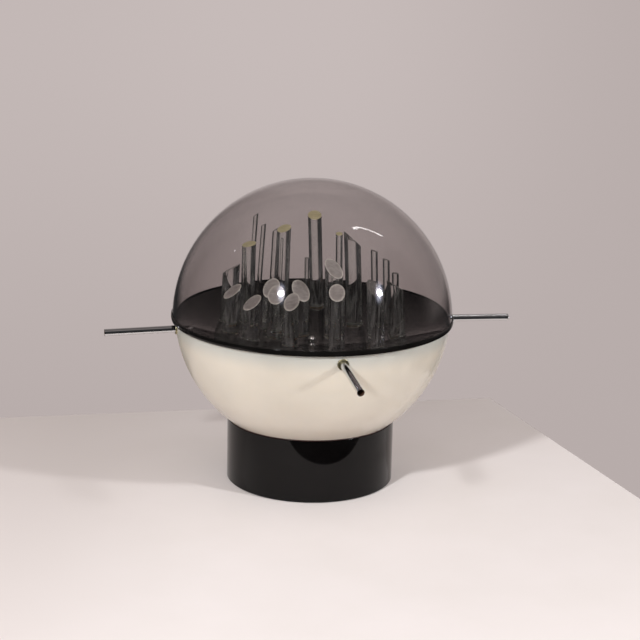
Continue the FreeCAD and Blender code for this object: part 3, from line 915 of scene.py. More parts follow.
def drill(piece: bpy.types.Object, bars: list[tuple[Vector, Vector, float]], steps: int = FINE_STEPS) -> None:
    """Cut round holes.

    Args:
        piece: Piece to cut.
        bars: Start, end and radius of each drill, in metres.
        steps: Facets round each hole.
    """
    cutter_mesh = bmesh.new()
    for start, end, radius in bars:
        axis = end - start
        matrix = Matrix.Translation((start + end) / 2) @ axis.to_track_quat("Z", "Y").to_matrix().to_4x4()
        bmesh.ops.create_cone(cutter_mesh, cap_ends=True, segments=steps, radius1=radius, radius2=radius,
                              depth=axis.length, matrix=matrix)
    mesh = bpy.data.meshes.new("drills")
    cutter_mesh.to_mesh(mesh)
    cutter_mesh.free()
    cutter = bpy.data.objects.new("drills", mesh)
    bpy.context.scene.collection.objects.link(cutter)
    cut = piece.modifiers.new("drill", "BOOLEAN")
    cut.operation, cut.solver, cut.object = "DIFFERENCE", "EXACT", cutter
    bpy.context.view_layer.update()
    shaped = bpy.data.meshes.new_from_object(piece.evaluated_get(bpy.context.evaluated_depsgraph_get()))
    piece.modifiers.clear()
    whole, piece.data = piece.data, shaped
    shaped.name = piece.name
    bpy.data.meshes.remove(whole)
    bpy.data.objects.remove(cutter)
    bpy.data.meshes.remove(mesh)


# Pieces

def slot_of(node: str) -> str:
    """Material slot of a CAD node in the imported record."""
    return next(s["material_slot"] for s in frame["record"]["subparts"] if s["node"] == node)


def install(piece: bpy.types.Object, *nodes: str) -> bpy.types.Object:
    """Let a piece stand for CAD nodes, on their body.

    Args:
        piece: The finished piece, in place.
        *nodes: Nodes that it stands for, all on one body.

    Returns:
        The piece.
    """
    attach(piece, frame["nodes"][nodes[0]]["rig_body"])
    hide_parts(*nodes)
    slot_of(nodes[0])
    log.info("%s stands for %s", piece.name, ", ".join(nodes))
    return piece


def accompany(piece: bpy.types.Object, node: str) -> bpy.types.Object:
    """Put a piece on a CAD node's body, without standing for it.

    Args:
        piece: The finished piece, in place.
        node: The node whose body it takes.

    Returns:
        The piece.
    """
    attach(piece, frame["nodes"][node]["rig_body"])
    log.info("%s goes with %s", piece.name, node)
    return piece


def finish_node(node: str, finish: Finish) -> None:
    """Give a CAD node that stays its finish.

    Args:
        node: The node.
        finish: Its finish.
    """
    thing = frame["nodes"][node]
    for material_slot in thing.material_slots:
        material_slot.material = finish.material()
    log.info("%s keeps its solid, finish %s", node, finish.title)


def rising_arc(radius: float, centre: float, out: float) -> float:
    """Level below a ball's centre at which the ball is this far out, in millimetres."""
    return centre - math.sqrt(radius ** 2 - out ** 2)


@dataclass
class Bowl:
    """Opal glass bowl with its seals, and the ball that other pieces follow, in millimetres."""

    radius: float = 195.5
    wall: float = 4.0
    rim_drop: float = 11.7
    opening: float = 21.0
    hole_radius: float = 5.3
    drill_room: float = 10.0     # drills start this far inside the tubes' inner ends
    arc_steps: int = 72

    def rim(self) -> float:
        """Level of the open edge."""
        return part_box("opal_bowl")[1].z / MM

    def centre(self) -> float:
        """Level of the ball's centre."""
        return self.rim() + self.rim_drop

    def build(self) -> None:
        """Build and dress the bowl."""
        inner = self.radius - self.wall
        middle = self.centre()
        out_low = (self.opening, rising_arc(self.radius, middle, self.opening))
        in_low = (self.opening, rising_arc(inner, middle, self.opening))
        out_high = (math.sqrt(self.radius ** 2 - self.rim_drop ** 2), self.rim())
        in_high = (math.sqrt(inner ** 2 - self.rim_drop ** 2), self.rim())
        outline = Outline()
        outline.bend(out_low, out_high, (0.0, middle), self.arc_steps, 0.6)
        outline.corner(*out_high, 1.2)
        outline.bend(in_high, in_low, (0.0, middle), self.arc_steps, 1.2)
        outline.corner(*in_low, 0.6)
        turned = Turned(outline)
        bowl = turned.piece("blown_bowl", [Finishes.opal])
        tubes = [TubeLine.from_node(f"tube_{k}") for k in (1, 2, 3, 4)]
        room = self.drill_room * MM
        drill(bowl, [(t.inner - t.axis * room, t.outer, self.hole_radius * MM) for t in tubes], HOLE_STEPS)
        turned.refit_normals(bowl)
        install(bowl, "opal_bowl")
        finish_node("bowl_seal", Finishes.brown_rubber)
        finish_node("rim_gasket", Finishes.silicone)
        finish_node("clamp_gasket", Finishes.silicone)
        finish_node("clamp_washer", Finishes.zinc)


@dataclass
class Base:
    """Drum with its plate, feet, screws, inlet bush and terminal block, in millimetres."""

    radius: float = 119.5
    wall: float = 2.0
    lip_width: float = 18.5
    flange_width: float = 12.5
    flange_bottom: float = 12.0
    flange_top: float = 14.0
    seal: float = 1.0
    inlet_level: float = 26.0
    inlet_radius: float = 6.0
    drill_room: float = 4.0      # the drill starts this far inside the wall
    drill_length: float = 10.0
    arc_steps: int = 12

    def build(self, bowl: Bowl) -> None:
        """Build the drum round the bowl's ball and dress everything in it.

        Args:
            bowl: The bowl that stands in the drum.
        """
        low, high = (corner.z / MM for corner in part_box("base_drum"))
        ball = bowl.radius + self.seal
        middle = bowl.centre()
        lip = self.radius - self.lip_width
        inner = self.radius - self.wall
        under = ball + self.wall
        flange = inner - self.flange_width
        outline = Outline()
        outline.corner(self.radius, low, 0.7)
        outline.bend((self.radius, high), (lip, rising_arc(ball, middle, lip)), (0.0, middle),
                     self.arc_steps, 0.5)
        outline.corner(lip, rising_arc(ball, middle, lip), 0.6)
        outline.bend((lip, rising_arc(under, middle, lip)), (inner, rising_arc(under, middle, inner)),
                     (0.0, middle), self.arc_steps, 0.6)
        outline.corner(inner, rising_arc(under, middle, inner), 2.0)
        outline.corner(inner, self.flange_top, 1.5)
        outline.corner(flange, self.flange_top, 0.4)
        outline.corner(flange, self.flange_bottom, 0.4)
        outline.corner(inner, self.flange_bottom, 0.4)
        outline.corner(inner, low, 0.7)
        turned = Turned(outline)
        drum = turned.piece("spun_drum", [Finishes.drum_enamel])
        back = Vector((0.0, inner - self.drill_room, self.inlet_level)) * MM
        through = Vector((0.0, self.drill_length, 0.0)) * MM
        drill(drum, [(back, back + through, self.inlet_radius * MM)], HOLE_STEPS)
        turned.refit_normals(drum)
        install(drum, "base_drum")
        finish_node("base_plate", Finishes.plate)
        finish_node("rubber_feet", Finishes.black_rubber)
        finish_node("base_screws", Finishes.zinc)
        finish_node("cord_bush", Finishes.black_nylon)
        finish_node("terminal_block", Finishes.white_nylon)
        finish_node("terminal_screws", Finishes.brass)


@dataclass(frozen=True)
class RodShape:
    """Axis, radius and oblique cut of a glass rod, read from its CAD node, in metres."""

    foot: Vector
    axis: Vector
    radius: float
    cut_point: Vector
    cut_normal: Vector

    @classmethod
    def from_node(cls, node: str) -> "RodShape":
        """Read a rod's solid: its square lower end gives the axis, its upper end the cut.

        Args:
            node: The rod's node.

        Returns:
            Its shape.
        """
        mesh = frame["nodes"][node].data
        low = [p for p in mesh.polygons if p.normal.z < -0.9]
        high = [p for p in mesh.polygons if p.normal.z > 0.5]
        ends = []
        for faces in (low, high):
            area = sum(p.area for p in faces)
            centre = sum((p.center * p.area for p in faces), Vector()) / area
            normal = sum((p.normal * p.area for p in faces), Vector()).normalized()
            ends.append((centre, normal))
        (foot, down), (cut_point, cut_normal) = ends
        rim = {v for p in low for v in p.vertices}
        radius = max((mesh.vertices[v].co - foot).length for v in rim)
        return cls(foot, -down, radius, cut_point, cut_normal)

    def height(self, point: Vector) -> float:
        """How far along the axis from a point the cut lies."""
        return (self.cut_point - point).dot(self.cut_normal) / self.axis.dot(self.cut_normal)


class EndTone(Enum):
    """How a rod's sawn end looks: its face's and its rim's finish; on long rods a painted glow of light
    carried up the rod.
    """

    CLEAR = (Finishes.sawn, Finishes.sawn)
    FROSTED = (Finishes.frost, Finishes.frost_rim)
    # painted glow of light carried up a long rod, yellow from its long path
    PAINTED_GLOW = (Finishes.painted_glow_end, Finishes.painted_glow_end)


@dataclass
class GlassRods:
    """Clear rods with sawn oblique ends, in millimetres."""

    count: int = 24
    edge: float = 0.35           # broken sharp edge
    rim: float = 0.9             # brighter ring round a ground end
    frosted: tuple[int, ...] = (15, 16, 17, 18, 19, 20, 21, 23)
    # long rods whose ends carry the painted glow
    painted_glow_rods: tuple[int, ...] = (2, 6, 9, 10)

    def tone(self, number: int) -> EndTone:
        """Look up how a rod's end looks.

        Args:
            number: The rod's number.

        Returns:
            Its tone.
        """
        if number in self.painted_glow_rods:
            return EndTone.PAINTED_GLOW
        return EndTone.FROSTED if number in self.frosted else EndTone.CLEAR

    def rod(self, shape: RodShape, tone: EndTone, name: str) -> bpy.types.Object:
        """Build one rod.

        Args:
            shape: Its axis, radius and cut.
            tone: What its sawn end looks like.
            name: The piece's name.

        Returns:
            The rod, with separate finishes on its side, its ground end and that end's rim.
        """
        skin = Skin()
        across = shape.axis.cross(Vector((0.0, 1.0, 0.0))).normalized()
        along = shape.axis.cross(across)
        angles = [2 * math.pi * k / FINE_STEPS for k in range(FINE_STEPS)]
        spokes = [across * math.cos(a) + along * math.sin(a) for a in angles]
        edge, rim = self.edge * MM, self.rim * MM
        down, up = [-shape.axis] * FINE_STEPS, [shape.cut_normal] * FINE_STEPS

        def on_cut(radius: float, drop: float = 0.0) -> list[Vector]:
            """Points at a radius on the cut, or below it by a drop along the axis."""
            places = [shape.foot + s * radius for s in spokes]
            return [p + shape.axis * (shape.height(p) - drop) for p in places]

        pole = skin.ring([shape.foot])
        foot = skin.ring([shape.foot + s * (shape.radius - edge) for s in spokes])
        low = skin.ring([shape.foot + s * shape.radius + shape.axis * edge for s in spokes])
        high = skin.ring(on_cut(shape.radius, edge))
        shoulder = skin.ring(on_cut(shape.radius - edge))
        inside = skin.ring(on_cut(shape.radius - edge - rim))
        top = skin.ring([shape.foot + shape.axis * shape.height(shape.foot)])
        skin.strip(pole, foot, down, down, 0)
        skin.strip(foot, low, down, spokes, 0)
        skin.strip(low, high, spokes, spokes, 0)
        skin.strip(high, shoulder, spokes, up, 2)
        skin.strip(shoulder, inside, up, up, 2)
        skin.strip(inside, top, up, up, 1)
        return skin.piece(name, [Finishes.rod, *tone.value])

    def build(self) -> None:
        """Build every rod in its CAD node's place."""
        for number in range(1, self.count + 1):
            node = f"glass_rod_{number:02d}"
            install(self.rod(RodShape.from_node(node), self.tone(number), f"clear_rod_{number:02d}"), node)


@dataclass
class DomedNut:
    """Low domed nut that holds the tray, in millimetres."""

    flats: float = 10.0
    hex_height: float = 3.2
    dome_radius: float = 4.7
    bore: float = 3.08
    bore_depth: float = 5.6
    chamfer: float = 0.45
    play: float = 0.02           # the dome's bore is wider than the foot's by this
    sunk: float = 0.4            # the dome reaches this far into the foot
    arc_steps: int = 16

    def hexagon(self, seat: float) -> bpy.types.Object:
        """Build the six-sided foot with its chamfered corners.

        Args:
            seat: Level of its underside.

        Returns:
            The foot.
        """
        skin = Skin()
        corner = self.flats / 2 / math.cos(math.pi / 6)
        turns = [2 * math.pi * k / FINE_STEPS for k in range(FINE_STEPS)]
        spokes = [Vector((math.cos(t), math.sin(t), 0.0)) for t in turns]

        def reach(turn: float, limit: float) -> float:
            """Distance from the axis to the six-sided outline, at most the limit."""
            off = (turn + math.pi / 6) % (math.pi / 3) - math.pi / 6
            return min(self.flats / 2 / math.cos(off), limit)

        def ring(level: float, limit: float) -> list[int]:
            """Points round the outline at a level."""
            points = [s * reach(t + math.pi / 6, limit) + UP * level for s, t in zip(spokes, turns)]
            return skin.ring([p * MM for p in points])

        def hole(level: float) -> list[int]:
            """Points round the bore at a level."""
            return skin.ring([(s * self.bore + UP * level) * MM for s in spokes])

        trimmed = corner - self.chamfer
        shoulder = seat + self.hex_height
        levels = [(seat, trimmed), (seat + self.chamfer / 2, corner), (shoulder - self.chamfer / 2, corner),
                  (shoulder, trimmed)]
        rings = [ring(*level) for level in levels]
        down, up = [-UP] * FINE_STEPS, [UP] * FINE_STEPS
        flats = [Vector((math.cos(a), math.sin(a), 0.0)) for t in turns
                 for a in [round(t / (math.pi / 3) - 0.5) * math.pi / 3 + math.pi / 6]]
        low, high = hole(seat), hole(shoulder)
        skin.strip(low, rings[0], down, down)
        for first, second in zip(rings, rings[1:]):
            skin.strip(first, second, flats, flats)
        skin.strip(rings[-1], high, up, up)
        skin.strip(high, low, [-s for s in spokes], [-s for s in spokes])
        return skin.piece("domed_nut_foot", [Finishes.nickel])

    def build(self) -> None:
        """Build the nut in its CAD node's place."""
        low, high = (corner.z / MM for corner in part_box("cap_nut"))
        shoulder = low + self.hex_height
        rise = high - shoulder
        ball = (self.dome_radius ** 2 + rise ** 2) / (2 * rise)
        ceiling = low + self.bore_depth
        outline = Outline()
        outline.corner(self.bore + self.play, shoulder - self.sunk)
        outline.corner(self.dome_radius, shoulder - self.sunk)
        outline.bend((self.dome_radius, shoulder), (0.0, high), (0.0, high - ball), self.arc_steps)
        outline.corner(0.0, high)
        outline.corner(0.0, ceiling)
        outline.corner(self.bore + self.play, ceiling)
        install(Turned(outline, FINE_STEPS).piece("domed_nut", [Finishes.nickel]), "cap_nut")
        accompany(self.hexagon(low), "cap_nut")


@dataclass
class Tray:
    """Black dish with a rounded band and a lip round the dome, its grommets and domed nut, in millimetres."""

    wall: float = 2.0
    depth: float = 40.0
    seat_width: float = 6.5
    gasket_over: float = 1.05
    ledge_width: float = 7.0
    ledge_drop: float = 2.6
    lip_width: float = 0.9
    band_height: float = 7.3
    band_bulge: float = 0.6
    band_skirt: float = 0.8
    rod_hole: float = 3.25
    grommet_wall: float = 1.25
    drill_below: float = 10.0    # drills reach this far below the glass rods' feet
    drill_above: float = 30.0
    arc_steps: int = 48
    band_steps: int = 8

    def build(self, bowl: Bowl, rods: GlassRods) -> None:
        """Build the dish over the bowl's rim and dress it.

        Args:
            bowl: The bowl that carries it.
            rods: The rods that pass through it.
        """
        low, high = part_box("dish")
        band_radius, band_top = high.x / MM, high.z / MM
        band_bottom = band_top - self.band_height
        seat = band_bottom + self.band_skirt
        seat_outer = math.sqrt(bowl.radius ** 2 - bowl.rim_drop ** 2) + self.gasket_over
        seat_inner = seat_outer - self.seat_width
        corner = band_radius - self.band_bulge
        lip_inner = corner - self.lip_width
        ledge = band_top - self.ledge_drop
        ledge_inner = lip_inner - self.ledge_width
        ball = (ledge_inner ** 2 + self.depth ** 2) / (2 * self.depth)
        middle = ledge - self.depth + ball
        under = ball + self.wall
        half = self.band_height / 2
        band_ball = (half ** 2 + self.band_bulge ** 2) / (2 * self.band_bulge)
        band_middle = (band_radius - band_ball, band_bottom + half)
        outline = Outline()
        outline.bend((self.rod_hole, rising_arc(under, middle, self.rod_hole)),
                     (seat_inner, rising_arc(under, middle, seat_inner)), (0.0, middle), self.arc_steps)
        outline.corner(seat_inner, rising_arc(under, middle, seat_inner), 1.0)
        outline.corner(seat_inner, seat, 0.4)
        outline.corner(seat_outer, seat, 0.3)
        outline.corner(seat_outer, band_bottom, 0.4)
        outline.bend((corner, band_bottom), (corner, band_top), band_middle, self.band_steps, 0.5)
        outline.corner(corner, band_top, 0.5)
        outline.corner(lip_inner, band_top, 0.35)
        outline.corner(lip_inner, ledge, 0.4)
        outline.bend((ledge_inner, ledge), (self.rod_hole, rising_arc(ball, middle, self.rod_hole)),
                     (0.0, middle), self.arc_steps, 1.5)
        outline.corner(self.rod_hole, rising_arc(ball, middle, self.rod_hole), 0.3)
        turned = Turned(outline)
        dish = turned.piece("spun_dish", [Finishes.enamel])
        shapes = [RodShape.from_node(f"glass_rod_{k:02d}") for k in range(1, rods.count + 1)]
        below, above, wall = self.drill_below * MM, self.drill_above * MM, self.grommet_wall * MM
        drill(dish, [(s.foot - s.axis * below, s.foot + s.axis * above, s.radius + wall) for s in shapes])
        turned.refit_normals(dish)
        install(dish, "dish")
        finish_node("rod_grommets", Finishes.silicone)
        DomedNut().build()


@dataclass
class Dome:
    """Smoked dome: a blown ball shell, thinner at its crown, with a polished foot, in millimetres."""

    side_wall: float = 4.8
    crown_wall: float = 2.6
    foot_rounding: float = 0.9
    arc_steps: int = 96

    def build(self) -> None:
        """Build and dress the dome from its CAD box."""
        low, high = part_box("dome")
        foot, top, out = low.z / MM, high.z / MM, high.x / MM
        rise = top - foot
        ball = (out ** 2 + rise ** 2) / (2 * rise)
        middle = top - ball
        inner = ball - self.side_wall
        inner_middle = top - self.crown_wall - inner
        inner_foot = math.sqrt(inner ** 2 - (foot - inner_middle) ** 2)
        outline = Outline()
        outline.bend((out, foot), (0.0, top), (0.0, middle), self.arc_steps, self.foot_rounding)
        outline.corner(0.0, top)
        outline.bend((0.0, top - self.crown_wall), (inner_foot, foot), (0.0, inner_middle), self.arc_steps)
        outline.corner(inner_foot, foot, self.foot_rounding)
        install(Turned(outline).piece("blown_dome", [Finishes.smoke]), "dome")


@dataclass(frozen=True)
class TubeLine:
    """Centre line of a straight tube, read from its CAD node, in metres."""

    inner: Vector
    outer: Vector

    @property
    def axis(self) -> Vector:
        """Direction from the inner to the outer end."""
        return (self.outer - self.inner).normalized()

    def at_radius(self, radius: float, centre: Vector) -> Vector:
        """Find where the line leaves a ball.

        Args:
            radius: The ball's radius.
            centre: The ball's centre.

        Returns:
            The point.
        """
        arm = self.inner - centre
        along = arm.dot(self.axis)
        return self.inner + self.axis * (math.sqrt(along ** 2 - arm.length_squared + radius ** 2) - along)

    @classmethod
    def from_node(cls, node: str) -> "TubeLine":
        """Read a tube's solid: the points of each end ring average to that end's centre.

        Args:
            node: The tube's node.

        Returns:
            Its centre line.
        """
        points = [v.co for v in frame["nodes"][node].data.vertices]
        middle = sum(points, Vector()) / len(points)
        near = [p for p in points if math.hypot(p.x, p.y) < math.hypot(middle.x, middle.y)]
        far = [p for p in points if math.hypot(p.x, p.y) >= math.hypot(middle.x, middle.y)]
        return cls(sum(near, Vector()) / len(near), sum(far, Vector()) / len(far))


@dataclass
class SideTubes:
    """Open chrome tubes with brass collars, in millimetres."""

    radius: float = 5.0
    wall: float = 1.0
    collar_radius: float = 7.75
    collar_rise: float = 1.9
    collar_sunk: float = 1.0     # its flat back, below the bowl's face at the tube's middle
    gap: float = 0.05            # between a collar and its tube

    def collar(self, place: Matrix, name: str) -> bpy.types.Object:
        """Turn one brass collar with a rounded front edge.

        Args:
            place: Matrix from the tube's root to the lamp.
            name: The piece's name.

        Returns:
            The collar.
        """
        outline = Outline()
        outline.corner(self.radius + self.gap, -self.collar_sunk)
        outline.corner(self.collar_radius, -self.collar_sunk)
        outline.corner(self.collar_radius, self.collar_rise, 0.8)
        outline.corner(self.radius + self.gap, self.collar_rise, 0.3)
        return Turned(outline, FINE_STEPS, place).piece(name, [Finishes.brass])

    def build(self, bowl: Bowl) -> None:
        """Build the tubes and dress their fittings.

        Args:
            bowl: The bowl that they pass through.
        """
        bore_limit = (self.radius - 0.9 * self.wall) * MM     # a side wholly nearer the axis is bore
        for number in (1, 2, 3, 4):
            line = TubeLine.from_node(f"tube_{number}")
            length = (line.outer - line.inner).length / MM
            place = Matrix.Translation(line.inner) @ line.axis.to_track_quat("Z", "Y").to_matrix().to_4x4()
            outline = Outline()
            outline.corner(self.radius, 0.0, 0.3)
            outline.corner(self.radius, length, 0.35)
            outline.corner(self.radius - self.wall, length, 0.35)
            outline.corner(self.radius - self.wall, 0.0, 0.3)
            tube = Turned(outline, FINE_STEPS, place).piece(
                f"chrome_tube_{number}", [Finishes.chrome, Finishes.bore],
                lambda side: int(max(side.start.x, side.end.x) < bore_limit))
            install(tube, f"tube_{number}")
            root = line.at_radius(bowl.radius * MM, Vector((0.0, 0.0, bowl.centre() * MM)))
            collar = self.collar(Matrix.Translation(root) @ place.to_3x3().to_4x4(), f"brass_collar_{number}")
            accompany(collar, "tube_collars")
        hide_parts("tube_collars")
        finish_node("tube_seals", Finishes.black_rubber)
        finish_node("tube_nuts", Finishes.zinc)


@dataclass
class GlobeBulb:
    """Etched globe bulb with a rolled screw cap and its end contact, in millimetres."""

    contact_radius: float = 4.0
    contact_height: float = 2.6
    cap_radius: float = 6.9
    cap_rise: float = 1.0        # cap above the holder's mouth
    collar_height: float = 6.0   # plain part of the cap above its thread
    pitch: float = 2.6
    depth: float = 0.5
    neck_radius: float = 13.5
    globe_radius: float = 22.5
    edge: float = 0.6            # rounding of the contact and of the thread
    collar_ramp: float = 1.0     # from the thread to the plain part
    arc_steps: int = 32

    def build(self, number: int) -> None:
        """Build one bulb in its CAD node's place.

        Args:
            number: The bulb's number.
        """
        node = f"bulb_{number}"
        low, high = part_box(node)
        foot, top = low.z / MM, high.z / MM
        cap_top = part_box(f"lampholder_{number}")[1].z / MM + self.cap_rise
        globe = top - self.globe_radius
        shoulder = foot + self.contact_height
        outline = Outline()
        outline.corner(0.0, foot)
        outline.corner(self.contact_radius, foot, self.edge)
        outline.corner(self.contact_radius, foot + self.edge)
        outline.corner(self.cap_radius - self.depth, shoulder, 0.5)
        for turn in range(int((cap_top - self.collar_height - shoulder) / self.pitch)):
            start = shoulder + turn * self.pitch
            outline.corner(self.cap_radius, start + 0.5 * self.pitch, self.edge)
            outline.corner(self.cap_radius - self.depth, start + self.pitch, self.edge)
        outline.corner(self.cap_radius, cap_top - self.collar_height + self.collar_ramp, 0.5)
        outline.corner(self.cap_radius, cap_top, 0.3)
        neck = globe - math.sqrt(self.globe_radius ** 2 - self.neck_radius ** 2)
        outline.bend((self.neck_radius, neck), (0.0, top), (0.0, globe), self.arc_steps, 4.0)
        outline.corner(0.0, top)

        def part(side: Side) -> int:
            """Tell etched glass, metal cap and the black glass round the contact apart.

            Args:
                side: A side of the bulb's outline.

            Returns:
                The number of its finish.
            """
            middle = (side.start + side.end) / 2 / MM
            if middle.y > cap_top:
                return 0
            return 2 if foot + self.edge < middle.y < shoulder - 0.2 else 1

        place = Matrix.Translation(Vector(((low.x + high.x) / 2, (low.y + high.y) / 2, 0.0)))
        finishes = [Finishes.bulb, Finishes.nickel, Finishes.vitrite]
        install(Turned(outline, FINE_STEPS, place).piece(f"globe_bulb_{number}", finishes, part), node)


@dataclass
class LampWorks:
    """Threaded tie rod, bracket, lampholders, bulbs and leads, in millimetres."""

    lamps: int = 3
    pitch: float = 1.0
    thread_depth: float = 0.45
    thread_steps: int = 32

    def tie_rod(self) -> None:
        """Build the tie rod with its cut thread."""
        low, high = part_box("tie_rod")
        foot, top, radius = low.z / MM, high.z / MM, high.x / MM
        root = radius - self.thread_depth
        outline = Outline()
        outline.corner(0.0, foot)
        outline.corner(root, foot)
        for turn in range(int((top - foot) / self.pitch)):
            outline.corner(radius, foot + (turn + 0.5) * self.pitch)
            outline.corner(root, foot + (turn + 1.0) * self.pitch)
        outline.corner(root, top)
        outline.corner(0.0, top)
        install(Turned(outline, self.thread_steps).piece("threaded_tie_rod", [Finishes.zinc]), "tie_rod")

    def build(self) -> None:
        """Build and dress the works inside the bowl."""
        self.tie_rod()
        for node in ("bracket_spacer", "lamp_bracket", "tie_rod_nuts", "tie_rod_washers", "holder_nuts"):
            finish_node(node, Finishes.zinc)
        finish_node("internal_leads", Finishes.sleeve)
        for number in range(1, self.lamps + 1):
            finish_node(f"lampholder_{number}", Finishes.holder)
            GlobeBulb().build(number)


# Studio

@dataclass
class Camera:
    """The photograph's camera, found by fitting the lamp's outlines to it."""

    distance: float = 2.5579      # metres from the point looked at
    elevation: float = 14.903     # degrees
    yaw: float = -0.2446
    pitch: float = -0.1694
    roll: float = 1.2215
    focal_px: float = 1800.5      # for an image 640 pixels wide
    image_px: float = 640.0
    sensor_mm: float = 36.0

    def build(self) -> None:
        """Create the camera and make it the scene's."""
        rise = math.radians(self.elevation)
        back = Vector((0.0, -math.cos(rise), math.sin(rise)))
        right = Vector((1.0, 0.0, 0.0))
        up = right.cross(-back)
        turn = Matrix.Rotation(math.radians(self.yaw), 3, up)
        forward, right = turn @ -back, turn @ right
        tilt = Matrix.Rotation(math.radians(self.pitch), 3, right)
        forward, up = tilt @ forward, tilt @ up
        lean = math.radians(self.roll)
        across = right * math.cos(lean) + up * math.sin(lean)
        rising = up * math.cos(lean) - right * math.sin(lean)
        data = bpy.data.cameras.new("camera")
        data.sensor_width = self.sensor_mm
        data.lens = self.focal_px / self.image_px * self.sensor_mm
        data.clip_start, data.clip_end = 0.05, 50.0
        camera = bpy.data.objects.new("camera", data)
        bpy.context.scene.collection.objects.link(camera)
        place = Matrix((across, rising, -forward)).transposed().to_4x4()
        place.translation = AIM + back * self.distance
        camera.matrix_world = place
        bpy.context.scene.camera = camera


@dataclass(frozen=True)
class Slab(Finish):
    """White slab that the lamp stands on; what glossy surfaces mirror beyond its lit part is dark."""

    colour: str = "#EBE5E3"
    vein: str = "#E7E1DE"
    vein_mm: float = 160.0
    dimmed: str = "#DFD8D5"      # towards its left end, farther from the lamps' beams
    dim_from: Point2 = (-0.40, -0.12)
    dark: str = "#0A0A09"
    edge_start: Point2 = (-0.115, -0.334)
    edge_end: Point2 = (0.160, -0.236)
    edge_fade: Point2 = (-0.002, 0.004)
    left_fade: Point2 = (-0.90, -0.55)

    def shade(self, tree: bpy.types.NodeTree, place: Shader) -> Shader:
        """Draw faint veins, and the dark studio in front for glossy rays.

        Args:
            tree: The material's node tree.
            place: Object coordinates in metres.

        Returns:
            The surface shader's output.
        """
        share = clouds(tree, place, self.vein_mm, 6.0)
        veins = {0: share, 6: hex_colour(self.colour), 7: hex_colour(self.vein)}
        veined = add_node(tree, "ShaderNodeMix", veins, data_type="RGBA").outputs[2]
        across = add_node(tree, "ShaderNodeSeparateXYZ", {0: place}).outputs["X"]
        pale = lay_tone(tree, hex_colour(self.dimmed), veined, across, *self.dim_from)
        along = (Vector(self.edge_end) - Vector(self.edge_start)).normalized()
        arm = {0: place, 1: (*self.edge_start, 0.0)}
        off = {0: add_node(tree, "ShaderNodeVectorMath", arm, operation="SUBTRACT").outputs["Vector"],
               1: (along.y, -along.x, 0.0)}
        beyond = add_node(tree, "ShaderNodeVectorMath", off, operation="DOT_PRODUCT").outputs["Value"]
        past = {"Value": beyond, "From Min": self.edge_fade[0], "From Max": self.edge_fade[1]}
        outside = add_node(tree, "ShaderNodeMapRange", past).outputs["Result"]
        aside = {"Value": across, "From Min": self.left_fade[0], "From Max": self.left_fade[1],
                 "To Min": 1.0, "To Max": 0.0}
        far = add_node(tree, "ShaderNodeMapRange", aside, interpolation_type="SMOOTHSTEP").outputs["Result"]
        unlit = add_node(tree, "ShaderNodeMath", {0: outside, 1: far}, operation="MAXIMUM").outputs["Value"]
        rays = {0: unlit, 1: add_node(tree, "ShaderNodeLightPath").outputs["Is Glossy Ray"]}
        mirrored = add_node(tree, "ShaderNodeMath", rays, operation="MULTIPLY").outputs["Value"]
        mixed = {0: mirrored, 6: pale, 7: hex_colour(self.dark)}
        inputs = {
            "Base Color": add_node(tree, "ShaderNodeMix", mixed, data_type="RGBA").outputs[2],
            "Roughness": 0.75,
            "Specular IOR Level": 0.2,
        }
        return add_node(tree, "ShaderNodeBsdfPrincipled", inputs).outputs["BSDF"]


@dataclass(frozen=True)
class StudioLamp:
    """One lamp of the studio, aimed at the lamp on the table; a soft one fades towards its edge."""

    title: str
    azimuth: float          # degrees, 0 is +X and -90 the front
    elevation: float
    distance: float
    width: float            # metres
    height: float
    radiance: float
    round_face: bool = False
    colour: str = "#FFFFFF"
    roll: float = 0.0       # degrees about its own axis
    soft: bool = False

    def fade(self, tree: bpy.types.NodeTree) -> None:
        """Let the light fade like a bell curve from the middle of the lamp's face.

        Args:
            tree: The lamp's node tree.
        """
        tree.nodes.clear()
        place = add_node(tree, "ShaderNodeNewGeometry").outputs["Parametric"]
        arm = {0: place, 1: (0.5, 0.5, 0.0)}
        off = add_node(tree, "ShaderNodeVectorMath", arm, operation="SUBTRACT").outputs["Vector"]
        face = {0: off, 1: (1.0, 1.0, 0.0)}
        flat = {0: add_node(tree, "ShaderNodeVectorMath", face, operation="MULTIPLY").outputs["Vector"]}
        out = add_node(tree, "ShaderNodeVectorMath", flat, operation="LENGTH").outputs["Value"]
        curve = {"Value": out, "From Max": 0.5, "To Min": 1.0, "To Max": 0.0}
        bell = add_node(tree, "ShaderNodeMapRange", curve, interpolation_type="SMOOTHERSTEP")
        power = {0: bell.outputs["Result"], 1: 2.0}
        steep = add_node(tree, "ShaderNodeMath", power, operation="POWER").outputs["Value"]
        glow = add_node(tree, "ShaderNodeEmission", {"Strength": steep}).outputs["Emission"]
        add_node(tree, "ShaderNodeOutputLight", {"Surface": glow})

    def build(self) -> None:
        """Create the lamp."""
        data = bpy.data.lights.new(self.title, "AREA")
        data.shape = "ELLIPSE" if self.round_face else "RECTANGLE"
        data.color = hex_colour(self.colour)[:3]
        data.size, data.size_y = self.width, self.height
        share = math.pi / 4 if self.round_face else 1.0
        data.energy = self.radiance * math.pi * self.width * self.height * share
        if self.soft:
            data.use_nodes = True
            self.fade(data.node_tree)
        lamp = bpy.data.objects.new(self.title, data)
        bpy.context.scene.collection.objects.link(lamp)
        turn, rise = math.radians(self.azimuth), math.radians(self.elevation)
        out = Vector((math.cos(rise) * math.cos(turn), math.cos(rise) * math.sin(turn), math.sin(rise)))
        lamp.rotation_mode = "QUATERNION"
        lamp.rotation_quaternion = Quaternion(out, math.radians(self.roll)) @ out.to_track_quat("Z", "Y")
        lamp.location = AIM + out * self.distance
        lamp.visible_camera = False


@dataclass(frozen=True)
class ToneChange:
    """A change of tone round the lamp: along a direction, from start to end."""

    tone: str
    along: str      # X is to the right and Y to the back, both round the horizon, and Z is up
    start: float
    end: float


